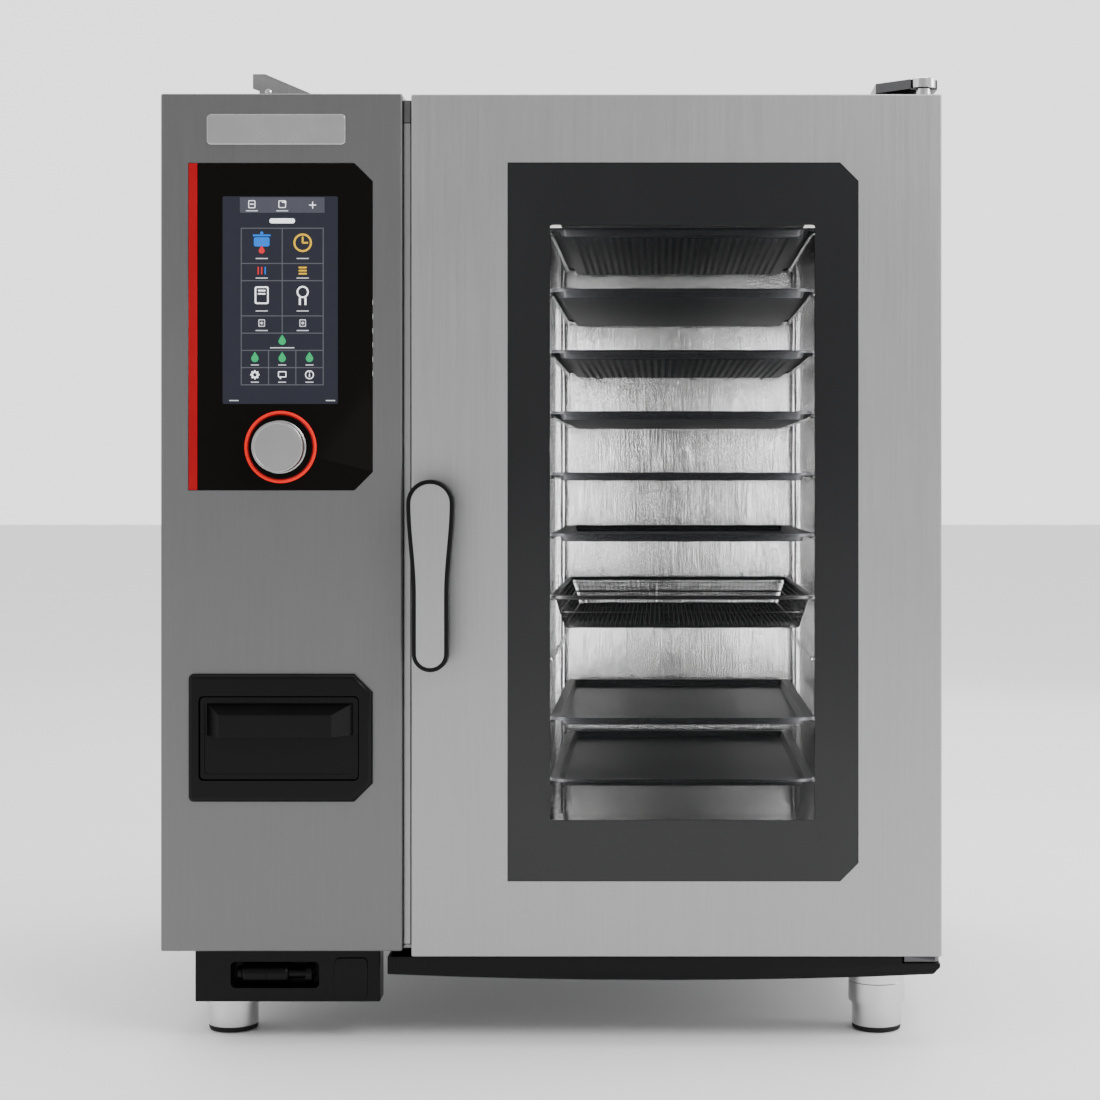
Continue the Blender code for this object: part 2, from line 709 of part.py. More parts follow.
# ---------------------------------------------------------------- water, drain and flue
def make_water_parts(m):
    floor = CAVITY_Z[0]
    strainer_profile = [
        (floor - 0.012, 0.0150),
        (floor + 0.0006, 0.0150),
        (floor + 0.0006, 0.045),
        (floor + 0.003, 0.045),
        (floor + 0.005, 0.038),
    ]
    strainer = turned(
        "drain_strainer", (TRAY_MID_X, DRAIN_DEPTH), strainer_profile, "Z", m["bright_steel"], 20
    )
    for row in range(-2, 3):
        half = 0.0115 - 0.0018 * abs(row)
        slit = (
            (TRAY_MID_X - half, TRAY_MID_X + half),
            (DRAIN_DEPTH + 0.0050 * row - 0.0013, DRAIN_DEPTH + 0.0050 * row + 0.0013),
        )
        cut(
            strainer,
            prism(f"strainer_slit_{row + 2}", rect(*slit), (floor - 0.02, floor + 0.02), "Z", m["steel"]),
        )

    bend = 0.022
    path = [at(TRAY_MID_X, DRAIN_DEPTH, floor - SHEET - GAP), at(TRAY_MID_X, DRAIN_DEPTH, DRAIN_Z + bend)]
    for step in range(1, 4):
        turn = pi / 2 * step / 4
        path.append(at(TRAY_MID_X, DRAIN_DEPTH + bend * (1 - cos(turn)), DRAIN_Z + bend * (1 - sin(turn))))
    path += [at(TRAY_MID_X, DRAIN_DEPTH + bend, DRAIN_Z), at(TRAY_MID_X, CASE_DEPTH + PIPE_REACH, DRAIN_Z)]
    tube("drain_pipe", path, DRAIN_RADIUS, m["black_plastic"], 16, DRAIN_BORE)

    body_x = (VALVE_X - 0.042, VALVE_X + 0.042)
    valve = block(
        "water_inlet_valve",
        body_x,
        (0.735, CASE_DEPTH - 0.004),
        (VALVE_Z - 0.022, VALVE_Z + 0.030),
        m["black_plastic"],
    )
    for side, word in ((-1, "soft"), (1, "hard")):
        centre = (VALVE_X + side * VALVE_HALF_PITCH, VALVE_Z)
        join(
            valve,
            turned(
                f"{word}_water_spigot",
                centre,
                [(0.790, VALVE_THREAD), (CASE_DEPTH + 0.016, VALVE_THREAD)],
                "Y",
                m["brass"],
                16,
            ),
        )
        cut(
            valve,
            prism(
                f"{word}_water_bore",
                circle(centre, 0.0095, 16),
                (0.785, CASE_DEPTH + 0.03),
                "Y",
                m["brass"],
            ),
        )

    flue_span = (CAVITY_Z[1] + SHEET + GAP, 1.150)
    flue = pipe_ring(
        "flue_pipe",
        (FLUE_X, FLUE_DEPTH),
        flue_span,
        FLUE_RADIUS,
        FLUE_RADIUS - SHEET,
        "Z",
        m["bright_steel"],
        24,
    )
    cut(
        flue,
        prism(
            "flap_axle_holes",
            circle((FLUE_DEPTH, FLAP_Z), 0.0036, 12),
            grow((FLUE_X,) * 2, 0.04),
            "X",
            m["steel"],
        ),
    )


def make_flap(m, flap_axis):
    """The vent flap: a round plate on an axle, upright when the vent is open."""
    centre = (FLUE_X, FLAP_Z)
    plate = prism(
        "flue_flap",
        circle(centre, 0.0215, 20),
        grow((FLUE_DEPTH,) * 2, 0.0008),
        "Y",
        m["bright_steel"],
        flap_axis,
    )
    axle = prism(
        "flap_axle",
        circle((FLUE_DEPTH, FLAP_Z), 0.0028, 12),
        (FLUE_X - 0.029, FLUE_X + 0.029),
        "X",
        m["bright_steel"],
        flap_axis,
    )
    join(plate, axle)


# ---------------------------------------------------------------- controls
def make_controls(m, push_axis, knob_axis):
    glass_depth = (0.0026, 0.0066)
    strip_x = (GLASS_X[0], GLASS_X[0] + STRIP_WIDTH)
    block("accent_strip", strip_x, (0.0022, 0.0066), GLASS_Z, m["red"])
    pane = (strip_x[1] + 0.0003, GLASS_X[1])
    glass = prism("control_glass", cut_corners(pane, GLASS_Z), glass_depth, "Y", m["black_glass"])
    knob_centre = (KNOB_X, KNOB_Z)
    cut(glass, prism("encoder_hole", circle(knob_centre, 0.0085, 16), (-0.01, 0.02), "Y", m["steel"]))
    block("touch_display", grow(DISPLAY_X, 0.003), (0.0070, 0.0150), grow(DISPLAY_Z, 0.003), m["display"])

    board = block("control_board", (-0.412, -0.232), (0.030, 0.0316), (0.740, 1.000), m["board"])
    chips = [
        ((-0.400, -0.360), (0.90, 0.95), 0.010),
        ((-0.340, -0.300), (0.86, 0.90), 0.006),
        ((-0.290, -0.245), (0.93, 0.98), 0.018),
        ((-0.400, -0.250), (0.755, 0.775), 0.012),
    ]
    for i, (x, z, tall) in enumerate(chips):
        join(board, block(f"board_part_{i}", x, (0.031, 0.0316 + tall), z, m["board"]))

    ring_depth = (-0.0002, glass_depth[0] - GAP)
    pipe_ring(
        "knob_light_ring", knob_centre, ring_depth, RING_RADIUS, RING_RADIUS - 0.0038, "Y", m["red"], 40
    )
    encoder = block(
        "knob_encoder",
        grow((KNOB_X,) * 2, 0.016),
        (0.0072, 0.022),
        grow((KNOB_Z,) * 2, 0.016),
        m["black_plastic"],
    )
    join(
        encoder,
        turned("encoder_bush", knob_centre, [(0.0005, 0.0075), (0.010, 0.0075)], "Y", m["aluminium"], 16),
    )
    cut(encoder, prism("encoder_bore", circle(knob_centre, 0.0045, 16), (-0.01, 0.018), "Y", m["steel"]))

    turned(
        "knob_shaft", knob_centre, [(-0.0175, 0.0040), (0.0150, 0.0040)], "Y", m["aluminium"], 16, push_axis
    )
    face, back = -0.0235, -0.0022
    profile = [
        (face, KNOB_RADIUS - 0.0008),
        (face + 0.0008, KNOB_RADIUS),
        (back - 0.003, KNOB_RADIUS),
        (back, KNOB_RADIUS + 0.0010),
    ]
    knob = turned("control_knob", knob_centre, profile, "Y", m["steel"], 40, knob_axis)
    cut(knob, prism("knob_socket", circle(knob_centre, 0.0045, 16), (-0.0180, 0.01), "Y", m["steel"]))
    cut(knob, prism("knob_underside", circle(knob_centre, 0.0095, 16), (-0.0045, 0.01), "Y", m["steel"]))


def make_drawer(m, drawer_axis):
    """The cleaning drawer, and the moulded bezel whose sleeve guides it."""
    sleeve_x, sleeve_z = grow(DRAWER_X, 0.0040), grow(DRAWER_Z, 0.0040)
    edge = 0.004
    rim = cut_corners(grow(BEZEL_X, -edge), grow(BEZEL_Z, -edge), CORNER_CUT)
    front, back = -0.0045, FASCIA_DEPTH[0] - GAP
    hole = cut_corners(grow(DRAWER_X, 0.0010), grow(DRAWER_Z, 0.0010), 0.0010)
    loops = [
        flat(hole, front, "Y"),
        flat(rim, front, "Y"),
        flat(cut_corners(BEZEL_X, BEZEL_Z), front + edge, "Y"),
        flat(cut_corners(BEZEL_X, BEZEL_Z), back, "Y"),
        flat(cut_corners(sleeve_x, sleeve_z, 0.0010), back, "Y"),
        flat(cut_corners(sleeve_x, sleeve_z, 0.0010), DRAWER_LENGTH + 0.012, "Y"),
        flat(hole, DRAWER_LENGTH + 0.012, "Y"),
    ]
    stack("drawer_bezel", loops, m["black_plastic"], ring=True)

    front, back = -0.0020, DRAWER_LENGTH
    tub = block("drawer_tub", DRAWER_X, (front, back), DRAWER_Z, m["black_plastic"], drawer_axis)
    inner_x = grow(DRAWER_X, -0.0025)
    cut(
        tub,
        block(
            "drawer_hollow",
            inner_x,
            (front + 0.006, back - 0.0025),
            (DRAWER_Z[0] + 0.0025, DRAWER_Z[1] + 0.01),
            m["steel"],
            drawer_axis,
        ),
    )
    step = 0.003  # the tub's side walls stand a little lower than its front
    cut(
        tub,
        block(
            "drawer_top_step",
            grow(DRAWER_X, 0.01),
            (front + 0.006, back + 0.01),
            (DRAWER_Z[1] - step, DRAWER_Z[1] + 0.02),
            m["steel"],
            drawer_axis,
        ),
    )

    base = (DRAWER_X[0] + 0.0069, DRAWER_X[1] - 0.0048)
    face = (base[0] + 0.0190, base[1] - 0.0240)
    top, face_top, low = 0.3958, 0.3825, 0.3567
    reach = -0.0230
    wall_depth = front + 0.001
    loops = [
        flat(rect(base, (low, top)), wall_depth, "Y"),
        flat(rect(face, (low, face_top)), reach, "Y"),
    ]
    grip = stack("drawer_grip", loops, m["black_plastic"], drawer_axis)
    loops = [
        flat(rect(grow(base, -0.0030), (low - 0.01, top - 0.0030)), wall_depth - 0.0011, "Y"),
        flat(rect(grow(face, -0.0030), (low - 0.01, face_top - 0.0030)), reach + 0.0030, "Y"),
    ]
    hollow = stack("grip_hollow", loops, m["black_plastic"], drawer_axis)
    join(tub, grip)
    cut(tub, hollow)


def make_shower(m, shower_axis):
    """The hand shower lies across a pocket in the black housing under the control column."""
    x, z = (-0.4264, -0.2055), (0.0357, 0.0996)
    near, far = 0.025, 0.060
    housing = block("shower_housing", x, (near, far), z, m["black_plastic"])
    pocket_x, pocket_z = (-0.3840, -0.2780), (0.0520, 0.0835)
    cut(housing, block("shower_pocket", pocket_x, (near - 0.01, near + 0.028), pocket_z, m["steel"]))
    lid_x, lid_z = (-0.2596, -0.2202), (0.0408, 0.0886)
    lid = block("housing_lid", lid_x, (near - 0.002, near + 0.004), lid_z, m["black_plastic"])
    join(housing, lid)

    centre = (near + 0.0125, 0.0677)
    profile = [
        (-0.3780, 0.0070),
        (-0.3720, 0.0095),
        (-0.3610, 0.0095),
        (-0.3605, 0.0115),
        (-0.3090, 0.0115),
        (-0.3080, 0.0085),
        (-0.2920, 0.0085),
        (-0.2915, 0.0110),
        (-0.2870, 0.0110),
    ]
    turned("shower_nozzle", centre, profile, "X", m["black_plastic"], 16, shower_axis)


# ---------------------------------------------------------------- door
def make_door(m, door_axis):
    hole = cut_corners(grow(PANE_X, 0.0006), grow(PANE_Z, 0.0006), CORNER_CUT + 0.0003)
    edge = 0.0012

    def outer(x, z, level):
        return flat(cut_corners(x, z, edge), level, "Y")

    inside_x, inside_z = grow(DOOR_X, -SHEET), grow(DOOR_Z, -SHEET)
    loops = [
        flat(hole, 0, "Y"),
        outer(DOOR_X, DOOR_Z, 0),
        outer(DOOR_X, DOOR_Z, DOOR_RETURN),
        outer(inside_x, inside_z, DOOR_RETURN),
        outer(inside_x, inside_z, SHEET),
        flat(hole, SHEET, "Y"),
    ]
    skin = stack("door_outer_skin", loops, m["steel"], door_axis, ring=True)
    pin_hole = circle((HINGE_X, HINGE_DEPTH), PIN_RADIUS + 0.0012, 16)
    for end, level in (("lower", DOOR_Z[0]), ("upper", DOOR_Z[1])):
        cut(skin, prism(f"{end}_pin_hole", pin_hole, grow((level,) * 2, 0.006), "Z", m["steel"]))
    spindle_hole = circle((HANDLE_X, HANDLE_Z), 0.0075, 16)
    cut(skin, prism("spindle_hole_in_skin", spindle_hole, (-0.01, 0.01), "Y", m["steel"]))

    prism("door_glass_outer", cut_corners(PANE_X, PANE_Z), PANE_DEPTH, "Y", m["black_glass"], door_axis)

    def ring(x, z, level):
        return flat(rect(x, z), level, "Y")

    near, far = INNER_FRAME_DEPTH
    lip_x, lip_z = grow(VIEW_X, SHEET), grow(VIEW_Z, SHEET)
    inner_x, inner_z = grow(INNER_FRAME_X, -SHEET), grow(INNER_FRAME_Z, -SHEET)
    loops = [
        ring(VIEW_X, VIEW_Z, near),
        ring(VIEW_X, VIEW_Z, far),
        ring(INNER_FRAME_X, INNER_FRAME_Z, far),
        ring(INNER_FRAME_X, INNER_FRAME_Z, near + 0.020),
        ring(inner_x, inner_z, near + 0.020),
        ring(inner_x, inner_z, far - SHEET),
        ring(lip_x, lip_z, far - SHEET),
        ring(lip_x, lip_z, near),
    ]
    stack("door_inner_frame", loops, m["enamel"], door_axis, ring=True)
    pane_x, pane_z = (VIEW_X[0] - 0.010, VIEW_X[1] + 0.0075), grow(VIEW_Z, 0.010)
    prism(
        "door_glass_inner",
        rounded(pane_x, pane_z, 0.008, 2),
        INNER_PANE_DEPTH,
        "Y",
        m["clear_glass"],
        door_axis,
    )

    bar = 0.009
    lamp_x, lamp_z = grow(VIEW_X, -0.0006), grow(VIEW_Z, -0.0006)
    lamp = [
        (lamp_x[0], lamp_z[0]),
        (lamp_x[0] + bar, lamp_z[0]),
        (lamp_x[0] + bar, lamp_z[1] - bar),
        (lamp_x[1] - bar, lamp_z[1] - bar),
        (lamp_x[1] - bar, lamp_z[0]),
        (lamp_x[1], lamp_z[0]),
        (lamp_x[1], lamp_z[1]),
        (lamp_x[0], lamp_z[1]),
    ]
    prism("door_lamp_frame", lamp, (0.022, 0.046), "Y", m["lamp"], door_axis)


def handle_outline(shrink, steps=14):
    """A paddle: round and wide at the turning line, narrowing to a smaller round lower end."""
    wide, narrow = 0.0279 - shrink, 0.0215 - shrink
    taper = 0.105  # the waist is reached this far below the turning line
    points = []
    for i in range(steps + 1):
        turn = pi * i / steps
        points.append((HANDLE_X + wide * cos(turn), HANDLE_Z + wide * sin(turn)))
    side = []
    for i in range(1, 5):
        share = i / 4
        ease = share * share * (3 - 2 * share)
        side.append((wide + (narrow - wide) * ease, HANDLE_Z - taper * share))
    points += [(HANDLE_X - half, z) for half, z in side]
    for i in range(steps + 1):
        turn = pi + pi * i / steps
        points.append((HANDLE_X + narrow * cos(turn), HANDLE_Z - HANDLE_TAIL + narrow * sin(turn)))
    points += [(HANDLE_X + half, z) for half, z in reversed(side)]
    return points


def make_handle(m, handle_axis):
    front, back = -HANDLE_REACH, -0.0270
    edge = 0.0014
    outer = handle_outline(0)
    recess = 0.0013
    loops = [
        flat(outer, back, "Y"),
        flat(outer, front + edge, "Y"),
        flat(handle_outline(edge), front, "Y"),
        flat(handle_outline(0.0047), front, "Y"),
        flat(handle_outline(0.0047), front + recess, "Y"),
    ]
    core = stack("door_handle", loops, m["black_plastic"], handle_axis)
    centre = (HANDLE_X, HANDLE_Z)
    neck = turned(
        "handle_neck",
        centre,
        [(back - 0.006, 0.019), (-0.0012, 0.021)],
        "Y",
        m["black_plastic"],
        24,
        handle_axis,
    )
    join(core, neck)
    cut(core, prism("spindle_socket", circle(centre, 0.0064, 16), (-0.022, 0.01), "Y", m["steel"]))
    prism(
        "handle_cover", handle_outline(0.0050), (front, front + recess - GAP), "Y", m["steel"], handle_axis
    )

    spindle = turned(
        "latch_tongue",
        centre,
        [(-0.0215, 0.0060), (0.0560, 0.0060)],
        "Y",
        m["bright_steel"],
        16,
        handle_axis,
    )
    hook = [
        (HANDLE_X + 0.0030, HANDLE_Z - 0.0045),
        (HANDLE_X + 0.0030, HANDLE_Z + 0.0045),
        (HANDLE_X - 0.0060, HANDLE_Z + 0.0085),
        (HANDLE_X - 0.0215, HANDLE_Z + 0.0040),
        (HANDLE_X - 0.0215, HANDLE_Z - 0.0040),
        (HANDLE_X - 0.0060, HANDLE_Z - 0.0085),
    ]
    join(spindle, prism("latch_hook", hook, (0.0480, 0.0540), "Y", m["bright_steel"], handle_axis))

    lip, reach = 0.0045, 0.028
    low, high = HANDLE_Z - reach, HANDLE_Z + reach
    catch = [
        (FRAME_DEPTH[0] - GAP, low),
        (FRAME_DEPTH[0] - GAP, high),
        (0.0440, high),
        (0.0440, high - lip),
        (0.0600, high - lip),
        (0.0600, low + lip),
        (0.0440, low + lip),
        (0.0440, low),
    ]
    prism("latch_keeper", catch, (HANDLE_X - 0.0240, HANDLE_X - 0.0060), "X", m["bright_steel"])


def make_hinges(m):
    """Arms fixed to the casing, with pins that stand in the door's top and bottom edges."""
    pin = (HINGE_X, HINGE_DEPTH)
    arm_z = (1.1250, 1.1365)
    arm = [
        (0.3890, 0.0500),
        (0.3890, 0.1150),
        (0.4400, 0.1150),
        (0.4600, 0.0500),
        (0.4600, 0.0150),
        (0.4510, 0.0100),
        (0.4330, 0.0100),
        (0.4270, 0.0180),
    ]
    top = prism("hinge_bracket_top", arm, arm_z, "Z", m["bright_steel"])
    foot_z = (CASE_TOP + GAP, arm_z[0] + 0.002)
    foot = block("hinge_top_foot", (0.3900, 0.4450), (0.0700, 0.1140), foot_z, m["bright_steel"])
    boss = 0.0148
    pin_profile = [
        (1.0960, PIN_RADIUS), (1.1270, PIN_RADIUS), (1.1270, boss), (1.1360, boss), (1.1375, 0.0132)
    ]
    cap = turned("hinge_top_cap", pin, pin_profile, "Z", m["bright_steel"], 24)
    join(top, foot, cap)

    low_z = (0.0862, 0.0938)
    low_arm = [
        (0.4192, 0.0634),
        (0.4560, 0.0634),
        (0.4610, 0.0400),
        (0.4610, 0.0180),
        (0.4560, 0.0120),
        (0.4192, 0.0120),
    ]
    bottom = prism("hinge_bracket_bottom", low_arm, low_z, "Z", m["bright_steel"])
    plate = block(
        "hinge_bottom_plate", (0.4210, 0.4550), (0.0612, 0.0641), (0.0870, 0.1300), m["bright_steel"]
    )
    pin_low = turned(
        "hinge_bottom_pin", pin, [(0.0900, PIN_RADIUS), (0.1150, PIN_RADIUS)], "Z", m["bright_steel"], 24
    )
    join(bottom, plate, pin_low)


def main():
    for old in list(bpy.data.objects):
        bpy.data.objects.remove(old)
    m = make_materials()
    door_axis = axis_empty("door_hinge_line", at(HINGE_X, HINGE_DEPTH, DOOR_Z[0]))
    handle_axis = axis_empty("handle_turning_line", at(HANDLE_X, 0, HANDLE_Z), door_axis)
    fan_axis = axis_empty("fan_line", at(-0.070, FAN_DEPTH, FAN_Z))
    flap_axis = axis_empty("flap_line", at(FLUE_X, FLUE_DEPTH, FLAP_Z))
    push_axis = axis_empty("knob_push_line", at(KNOB_X, 0, KNOB_Z))
    knob_axis = axis_empty("knob_turning_line", at(KNOB_X, 0, KNOB_Z), push_axis)
    drawer_axis = axis_empty("drawer_runner", at(sum(DRAWER_X) / 2, 0, DRAWER_Z[0]))
    shower_axis = axis_empty("shower_seat", at(-0.33, 0.0375, 0.0677))
    bpy.context.view_layer.update()

    make_casing(m)
    make_fascia(m)
    make_feet(m)
    make_gutter(m)
    make_deflector(m)
    make_cavity(m)
    make_air_parts(m, fan_axis)
    make_load(m)
    make_water_parts(m)
    make_flap(m, flap_axis)
    make_controls(m, push_axis, knob_axis)
    make_drawer(m, drawer_axis)
    make_shower(m, shower_axis)
    make_door(m, door_axis)
    make_handle(m, handle_axis)
    make_hinges(m)


main()
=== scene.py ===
"""The finished look of a ten-level combi steamer oven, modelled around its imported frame.

Every place and size is in metres and comes from the frame's nodes. The door faces -Y, and a
piece's "front" is its side towards -Y.
"""

import json
from math import cos, pi, radians, sin

import bmesh
import bpy
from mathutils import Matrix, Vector

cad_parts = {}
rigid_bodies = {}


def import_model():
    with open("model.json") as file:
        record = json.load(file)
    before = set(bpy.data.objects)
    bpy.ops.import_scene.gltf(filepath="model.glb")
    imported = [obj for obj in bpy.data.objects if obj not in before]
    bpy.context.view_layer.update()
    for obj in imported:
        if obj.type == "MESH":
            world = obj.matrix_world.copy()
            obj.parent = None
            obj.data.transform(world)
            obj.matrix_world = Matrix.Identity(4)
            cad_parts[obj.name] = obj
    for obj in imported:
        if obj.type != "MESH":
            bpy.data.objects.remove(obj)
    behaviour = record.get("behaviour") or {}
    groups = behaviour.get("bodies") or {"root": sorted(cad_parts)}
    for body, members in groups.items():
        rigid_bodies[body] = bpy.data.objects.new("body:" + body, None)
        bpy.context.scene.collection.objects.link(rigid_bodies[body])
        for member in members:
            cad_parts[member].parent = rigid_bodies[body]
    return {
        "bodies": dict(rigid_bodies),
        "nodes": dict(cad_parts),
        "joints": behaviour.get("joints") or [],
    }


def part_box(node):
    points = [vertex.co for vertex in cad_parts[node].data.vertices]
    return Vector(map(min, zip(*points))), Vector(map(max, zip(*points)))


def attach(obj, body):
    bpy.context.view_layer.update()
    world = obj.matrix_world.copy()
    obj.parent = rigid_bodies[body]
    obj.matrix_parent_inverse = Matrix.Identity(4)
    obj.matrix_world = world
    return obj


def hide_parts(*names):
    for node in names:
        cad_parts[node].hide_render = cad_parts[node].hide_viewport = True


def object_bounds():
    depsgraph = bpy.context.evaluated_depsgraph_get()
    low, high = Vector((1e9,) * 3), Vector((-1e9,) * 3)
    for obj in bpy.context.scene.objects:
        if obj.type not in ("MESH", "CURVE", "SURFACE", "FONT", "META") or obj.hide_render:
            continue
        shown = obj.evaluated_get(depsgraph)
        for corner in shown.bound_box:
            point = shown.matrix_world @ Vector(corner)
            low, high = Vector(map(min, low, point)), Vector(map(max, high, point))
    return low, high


bl_info = {
    "name": "Combi steamer oven",
    "version": (1, 0, 0),
    "blender": (4, 5, 0),
    "location": "3D View > Sidebar > Oven",
    "description": "Builds the outer and inner finish of a ten-level combi steamer oven",
    "category": "Object",
}

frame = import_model()
CAD_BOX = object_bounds()
DOOR_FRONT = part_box("door_outer_skin")[0].y
LEVELS = ("01", "02", "03", "04", "05", "06", "09", "10")
PIERCED_LEVELS = ("01", "03")
PATTERN_TRAY = "tray_level_02"
BASKET = "fry_basket_level_07"
PLAY = Vector((0.0006, 0, 0.0006))  # room round a pane in its sheet
CLOSE = 1e-5  # places nearer than this are the same
SMOOTH = 35  # degrees: flatter edges than this are shaded round


# ---------------------------------------------------------------- what a user may change
def length(name, description, default):
    return bpy.props.FloatProperty(name=name, description=description, default=default, unit="LENGTH")


def colour(name, description, default):
    return bpy.props.FloatVectorProperty(
        name=name, description=description, default=default, subtype="COLOR", size=3, min=0, max=1
    )


class OvenSizes(bpy.types.PropertyGroup):
    fold: length("Fold radius", "Outer radius of the folded sheet edges", 0.0022)
    sheet: length("Sheet", "Thickness of the outer sheets", 0.0012)
    corner_cut: length("Corner cut", "Cut at the right-hand corners of the dark panels", 0.0218)
    frit_left: length("Border left", "Black border of the door glass on the left", 0.0497)
    frit_right: length("Border right", "Black border of the door glass on the right", 0.0509)
    frit_low: length("Border below", "Black border of the door glass at the bottom", 0.0722)
    frit_high: length("Border above", "Black border of the door glass at the top", 0.0733)
    knob_chamfer: length("Knob chamfer", "Chamfer round the knob's face", 0.0012)
    handle_rim: length("Handle rim", "Width of the black rim round the handle's cover", 0.0050)
    wire: length("Basket wire", "Thickness of the basket's mesh wire", 0.0011)
    wire_pitch: length("Basket pitch", "Distance between the basket's mesh wires", 0.0062)
    hole_pitch: length("Hole pitch", "Distance between the holes of a perforated tray", 0.0095)


class OvenColours(bpy.types.PropertyGroup):
    door_steel: colour("Door steel", "Brushed steel of the door", (0.350, 0.350, 0.355))
    column_steel: colour("Column steel", "Brushed steel of the control column", (0.155, 0.155, 0.158))
    case_steel: colour("Casing steel", "Brushed steel of the casing", (0.29, 0.29, 0.294))
    polished: colour("Polished steel", "Polished steel of the cavity, racks and feet", (0.72, 0.72, 0.72))
    red: colour("Red", "Accent strip beside the control glass", (0.29, 0.003, 0.007))
    ring: colour("Ring", "Light ring round the knob", (0.62, 0.010, 0.006))
    plastic: colour("Black plastic", "Drawer, shower housing and gutter", (0.0016, 0.0016, 0.0020))
    enamel: colour("Enamel", "Granite enamel of the trays", (0.008, 0.008, 0.009))
    screen: colour("Screen", "Ground of the touch display", (0.013, 0.014, 0.020))


def sizes():
    return bpy.context.scene.oven_sizes


def user_colour(name):
    """One of the user's colours as plain numbers."""
    return tuple(getattr(bpy.context.scene.oven_colours, name))


# ---------------------------------------------------------------- modelling by hand
def only(piece):
    """Selects one piece and makes it the active one."""
    bpy.ops.object.select_all(action="DESELECT")
    piece.select_set(True)
    bpy.context.view_layer.objects.active = piece


class editing:
    """Edit mode on one piece for the length of a with block."""

    def __init__(self, piece):
        self.piece = piece

    def __enter__(self):
        only(self.piece)
        bpy.ops.object.mode_set(mode="EDIT")
        bpy.ops.mesh.select_mode(type="VERT")

    def __exit__(self, *trouble):
        bpy.ops.object.mode_set(mode="OBJECT")


def middle(item):
    return item.co if hasattr(item, "co") else sum((v.co for v in item.verts), Vector()) / len(item.verts)


def pick_all():
    bpy.ops.mesh.select_all(action="SELECT")


def extrude(move):
    """In edit mode, draws the selection out by a move."""
    bpy.ops.mesh.extrude_region_move(TRANSFORM_OT_translate={"value": move})


def pick(piece, kind, test):
    """In edit mode, selects just the faces, edges or vertices that pass the test."""
    bpy.ops.mesh.select_mode(type=kind)
    bpy.ops.mesh.select_all(action="DESELECT")
    mesh = bmesh.from_edit_mesh(piece.data)
    items = {"FACE": mesh.faces, "EDGE": mesh.edges, "VERT": mesh.verts}[kind]
    for item in items:
        item.select_set(bool(test(item)))
    mesh.select_flush_mode()
    bmesh.update_edit_mesh(piece.data)


def near(value, other):
    return abs(value - other) < CLOSE


def settle(piece):
    """Puts a piece's place, turn and scale into its mesh."""
    only(piece)
    bpy.ops.object.transform_apply(location=True, rotation=True, scale=True)
    return piece


def begin(name, primitive, **where):
    """Adds a primitive with nothing else selected, to be shaped further."""
    bpy.ops.object.select_all(action="DESELECT")
    primitive(**where)
    piece = bpy.context.object
    piece.name = piece.data.name = name
    return piece


def add_block(name, low, high):
    """A box from its lowest to its highest corner."""
    low, high = Vector(low), Vector(high)
    piece = begin(name, bpy.ops.mesh.primitive_cube_add, size=1, location=(low + high) / 2)
    piece.scale = high - low
    return settle(piece)


def add_grid(name, centre, wide, deep, pitch, overlap=0.0):
    """A flat grid of nearly square cells, a pitch across."""
    cells = {"x_subdivisions": round(wide / pitch), "y_subdivisions": round(deep / pitch)}
    piece = begin(name, bpy.ops.mesh.primitive_grid_add, size=1, location=centre, **cells)
    piece.scale = (wide + overlap, deep + overlap, 1)
    return settle(piece)


def add_bead(name, radius, thickness, segments, **where):
    """A round bead: a torus by its middle radius, the radius of its wire and its two counts."""
    shape = {"major_radius": radius, "minor_radius": thickness}
    counts = {"major_segments": segments[0], "minor_segments": segments[1]}
    return settle(begin(name, bpy.ops.mesh.primitive_torus_add, **shape, **counts, **where))


def edge_bevel(piece, width, segments=2, test=None):
    """Rounds the edges that pass the test, or all of them."""
    with editing(piece):
        pick(piece, "EDGE", test or (lambda edge: True))
        bpy.ops.mesh.bevel(offset=width, segments=segments, affect="EDGES", profile=0.5)
    return piece


def soft_block(name, low, high, edge, segments=2):
    return edge_bevel(add_block(name, low, high), edge, segments)


def upright(edge, axis):
    """True for an edge that runs along an axis, 0 for X, 1 for Y and 2 for Z."""
    along = edge.verts[1].co - edge.verts[0].co
    return abs(along[axis]) > 0.99 * along.length


def cut_block(name, low, high, corner, round_by=0):
    """A plate whose right-hand corners, seen from the front, are cut off."""
    piece = add_block(name, low, high)
    left, right = Vector(low).x, Vector(high).x
    edge_bevel(piece, corner, 1, lambda e: upright(e, 1) and near(middle(e).x, right))
    if round_by:
        edge_bevel(piece, round_by, 4, lambda e: upright(e, 1) and near(middle(e).x, left))
    return piece


def round_block(name, low, high, radius, axis=1, segments=5):
    """A plate with four round corners about an axis."""
    return edge_bevel(add_block(name, low, high), radius, segments, lambda e: upright(e, axis))


def front_bevel(piece, width, segments=2):
    """Rounds the edges round the frontmost flat."""
    front = min(v.co.y for v in piece.data.vertices)
    return edge_bevel(piece, width, segments, lambda e: all(near(v.co.y, front) for v in e.verts))


